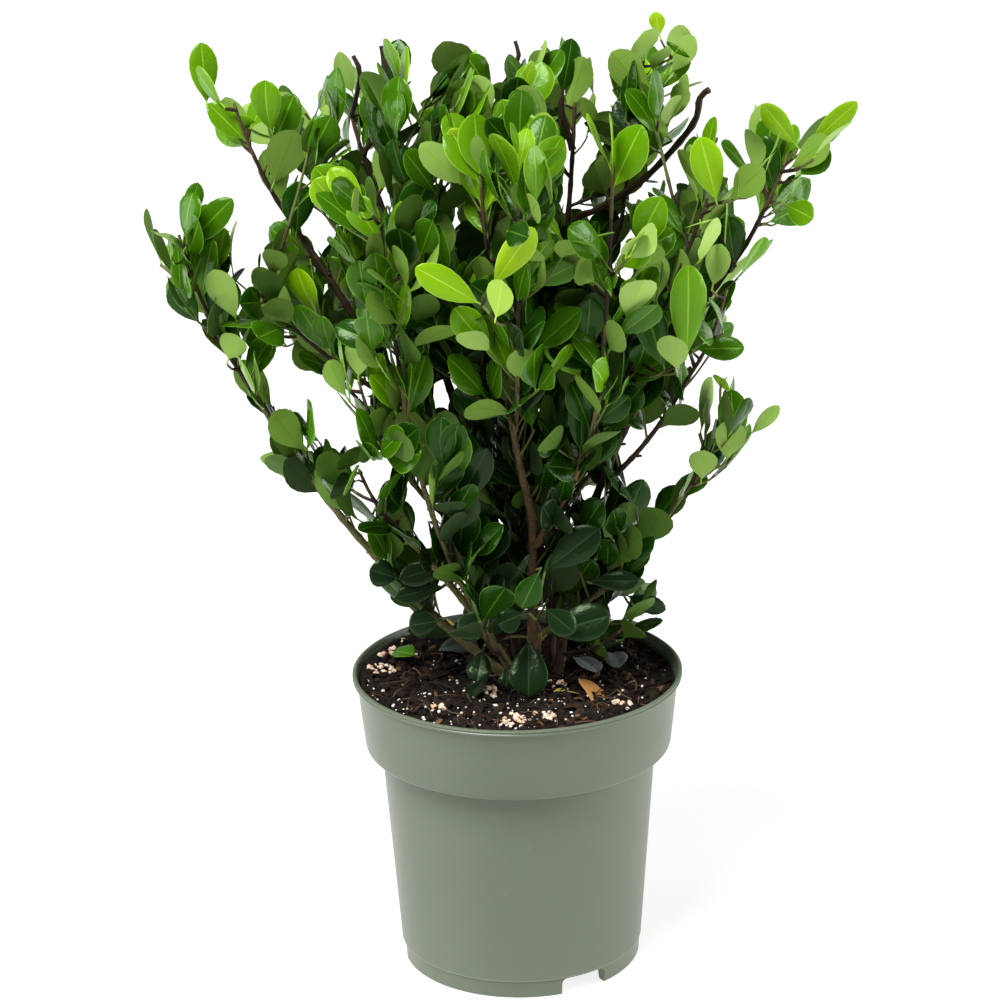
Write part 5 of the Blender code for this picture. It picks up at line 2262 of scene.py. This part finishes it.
        self.fibre(draw)

    def fibre(self, draw: random.Random) -> None:
        """Build and show the fibres that curl over the bed.

        Args:
            draw: The soil's random numbers.
        """
        batch = self.batch(Grit.FIBRE, 0.2 * MM)
        for x, y in self.scatter(draw, self.fibres, 0.9):
            length, turn = MM * draw.uniform(7.0, 24.0), draw.uniform(0.0, math.tau)
            curl, hump = draw.gauss(0.0, 1.6), MM * draw.uniform(0.5, 3.0)
            points = []
            for step in range(8):
                part = step / 7
                angle = turn + curl * part
                x += length / 7 * math.cos(angle)
                y += length / 7 * math.sin(angle)
                away = math.hypot(x, y)
                if away > 0.97 * self.radius:
                    x, y = x * 0.97 * self.radius / away, y * 0.97 * self.radius / away
                lift = 0.7 * MM + hump * math.sin(math.pi * part)
                points.append(Vector((x, y, self.height(x, y) + lift)))
            radius = MM * draw.uniform(0.18, 0.42)
            batch.tube(points, [radius] * 7 + [radius * 0.4], 4, [draw.randrange(3)] * 7)
        show(batch.name, batch.mesh(60.0), "soil")

    def fallen(self) -> None:
        """Build and show the leaves that have fallen on the bed."""
        draw = random.Random("fallen")
        shape = LeafShape()
        tints = sorted({leaf.tint.name for leaf in FALLEN})
        known = {leaf.tint.name: leaf.tint for leaf in FALLEN}
        batch = Batch("fallen_leaves", [material for name in tints for material in known[name].make()])
        for leaf in FALLEN:
            x, y = leaf.x * MM, leaf.y * MM
            tilt = math.radians(leaf.tilt)
            heading = polar(leaf.azimuth, math.cos(tilt), math.sin(tilt))
            root = Vector((x, y, self.height(x, y) + 1.6 * MM))
            facing = UP + 0.3 * Vector((draw.gauss(0, 1), draw.gauss(0, 1), 0))
            lying = Leaf(
                root, heading, facing, leaf.length * MM, self.leaf_ratio * leaf.length * MM, Tint.MID,
                self.leaf_fold, leaf.bend, draw.gauss(0.0, 0.5), 0.5 * MM,
            )
            first = 3 * tints.index(leaf.tint.name)
            batch.add(shape.places(lying), shape.faces, [first + part for part in shape.parts])
        show(batch.name, batch.mesh(), "leaves")

    def dress(self) -> None:
        """Build and show the whole soil."""
        self.bed()
        self.loose()
        self.fallen()


# The studio

@dataclass
class Studio:
    """A pale floor, soft light and the camera at the reference's angle."""

    view: Viewpoint = Viewpoint()
    floor_size: float = 60.0
    world_tint: Colour = (1.0, 1.0, 1.0)
    world_strength: float = 0.2
    sun_strength: float = 4.6
    sun_angle: float = math.radians(28.0)
    sun_from: tuple[float, float, float] = (-0.45, -0.62, 1.3)

    def camera(self) -> None:
        """Place the camera."""
        data = bpy.data.cameras.new("camera")
        data.lens = self.view.lens
        data.sensor_width = self.view.sensor
        data.clip_start, data.clip_end = 0.05, 200.0
        right, up, ahead = (Vector(row) for row in self.view.axes())
        rotation = Matrix((right, up, -ahead)).transposed()
        camera = linked("camera", data)
        camera.matrix_world = Matrix.Translation(self.view.eye) @ rotation.to_4x4()
        bpy.context.scene.camera = camera

    def floor(self) -> None:
        """Lay the pale floor."""
        shape = bmesh.new()
        bmesh.ops.create_grid(shape, x_segments=2, y_segments=2, size=0.5 * self.floor_size)
        mesh = mesh_of(shape, "floor", 60.0, FloorFinish().make())
        linked("floor", mesh)

    def lamp(self, name: str, place: tuple[float, float, float], size: float, power: float) -> None:
        """Add one soft square lamp aimed at the crown.

        Args:
            name: The lamp's name.
            place: Where it stands.
            size: Its side.
            power: Its power in watts.
        """
        data = bpy.data.lights.new(name, "AREA")
        data.size = size
        data.energy = power
        lamp = linked(name, data)
        lamp.location = place
        aim = Vector((0.0, 0.0, 0.3)) - Vector(place)
        lamp.rotation_euler = aim.to_track_quat("-Z", "Y").to_euler()

    def sun(self) -> None:
        """Add the broad soft light from the front left that lights the floor evenly."""
        data = bpy.data.lights.new("sun", "SUN")
        data.energy = self.sun_strength
        data.angle = self.sun_angle
        sun = linked("sun", data)
        sun.rotation_euler = (-Vector(self.sun_from)).to_track_quat("-Z", "Y").to_euler()

    def world(self) -> None:
        """Surround everything with soft white light."""
        world = bpy.data.worlds.new("studio")
        world.use_nodes = True
        background = world.node_tree.nodes["Background"]
        background.inputs["Color"].default_value = (*self.world_tint, 1.0)
        background.inputs["Strength"].default_value = self.world_strength
        bpy.context.scene.world = world
        bpy.context.scene.view_settings.view_transform = "Standard"

    def dress(self) -> None:
        """Set up the studio."""
        self.floor()
        self.world()
        self.sun()
        self.lamp("left_box", (-1.5, -0.1, 0.6), 0.9, 12.0)
        self.lamp("right_box", (1.5, -0.1, 0.6), 0.9, 20.0)
        self.camera()


def dress_limbs(limbs: Limbs, paths: dict[str, Path]) -> None:
    """Build and show the bark of every stem and bough.

    Args:
        limbs: The growth rule.
        paths: The limbs' paths by name.
    """
    tints = {
        Bark.TAN: ((0.095, 0.055, 0.026), (0.24, 0.155, 0.075), (0.36, 0.27, 0.17)),
        Bark.OLIVE: ((0.080, 0.072, 0.026), (0.185, 0.165, 0.065), (0.30, 0.27, 0.15)),
        Bark.DARK: ((0.022, 0.013, 0.009), (0.075, 0.045, 0.028), (0.17, 0.12, 0.08)),
    }
    finishes = {bark: BarkFinish(f"bark_{bark.value}", *trio).make() for bark, trio in tints.items()}
    skin = LimbBark()
    for limb in (*STEMS, *BOUGHS):
        parent = paths[limb.parent] if isinstance(limb, Bough) else None
        along = limb.along if isinstance(limb, Bough) else 0.0
        rooted = skin.rooted(paths[limb.name], parent, along)
        mesh = skin.mesh(limb.name, rooted, finishes[limb.bark])
        show(f"bark_{limb.name}", mesh, "bark", limb.name)


def main() -> None:
    """Dress the whole part and set up the studio."""
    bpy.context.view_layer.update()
    limbs = Limbs()
    paths = limbs.grow()
    Pot().dress()
    Soil().dress()
    dress_limbs(limbs, paths)
    crown = Crown(paths)
    crown.grow(limbs)
    Foliage(crown).dress()
    Studio().dress()


if __name__ == "__main__":
    main()
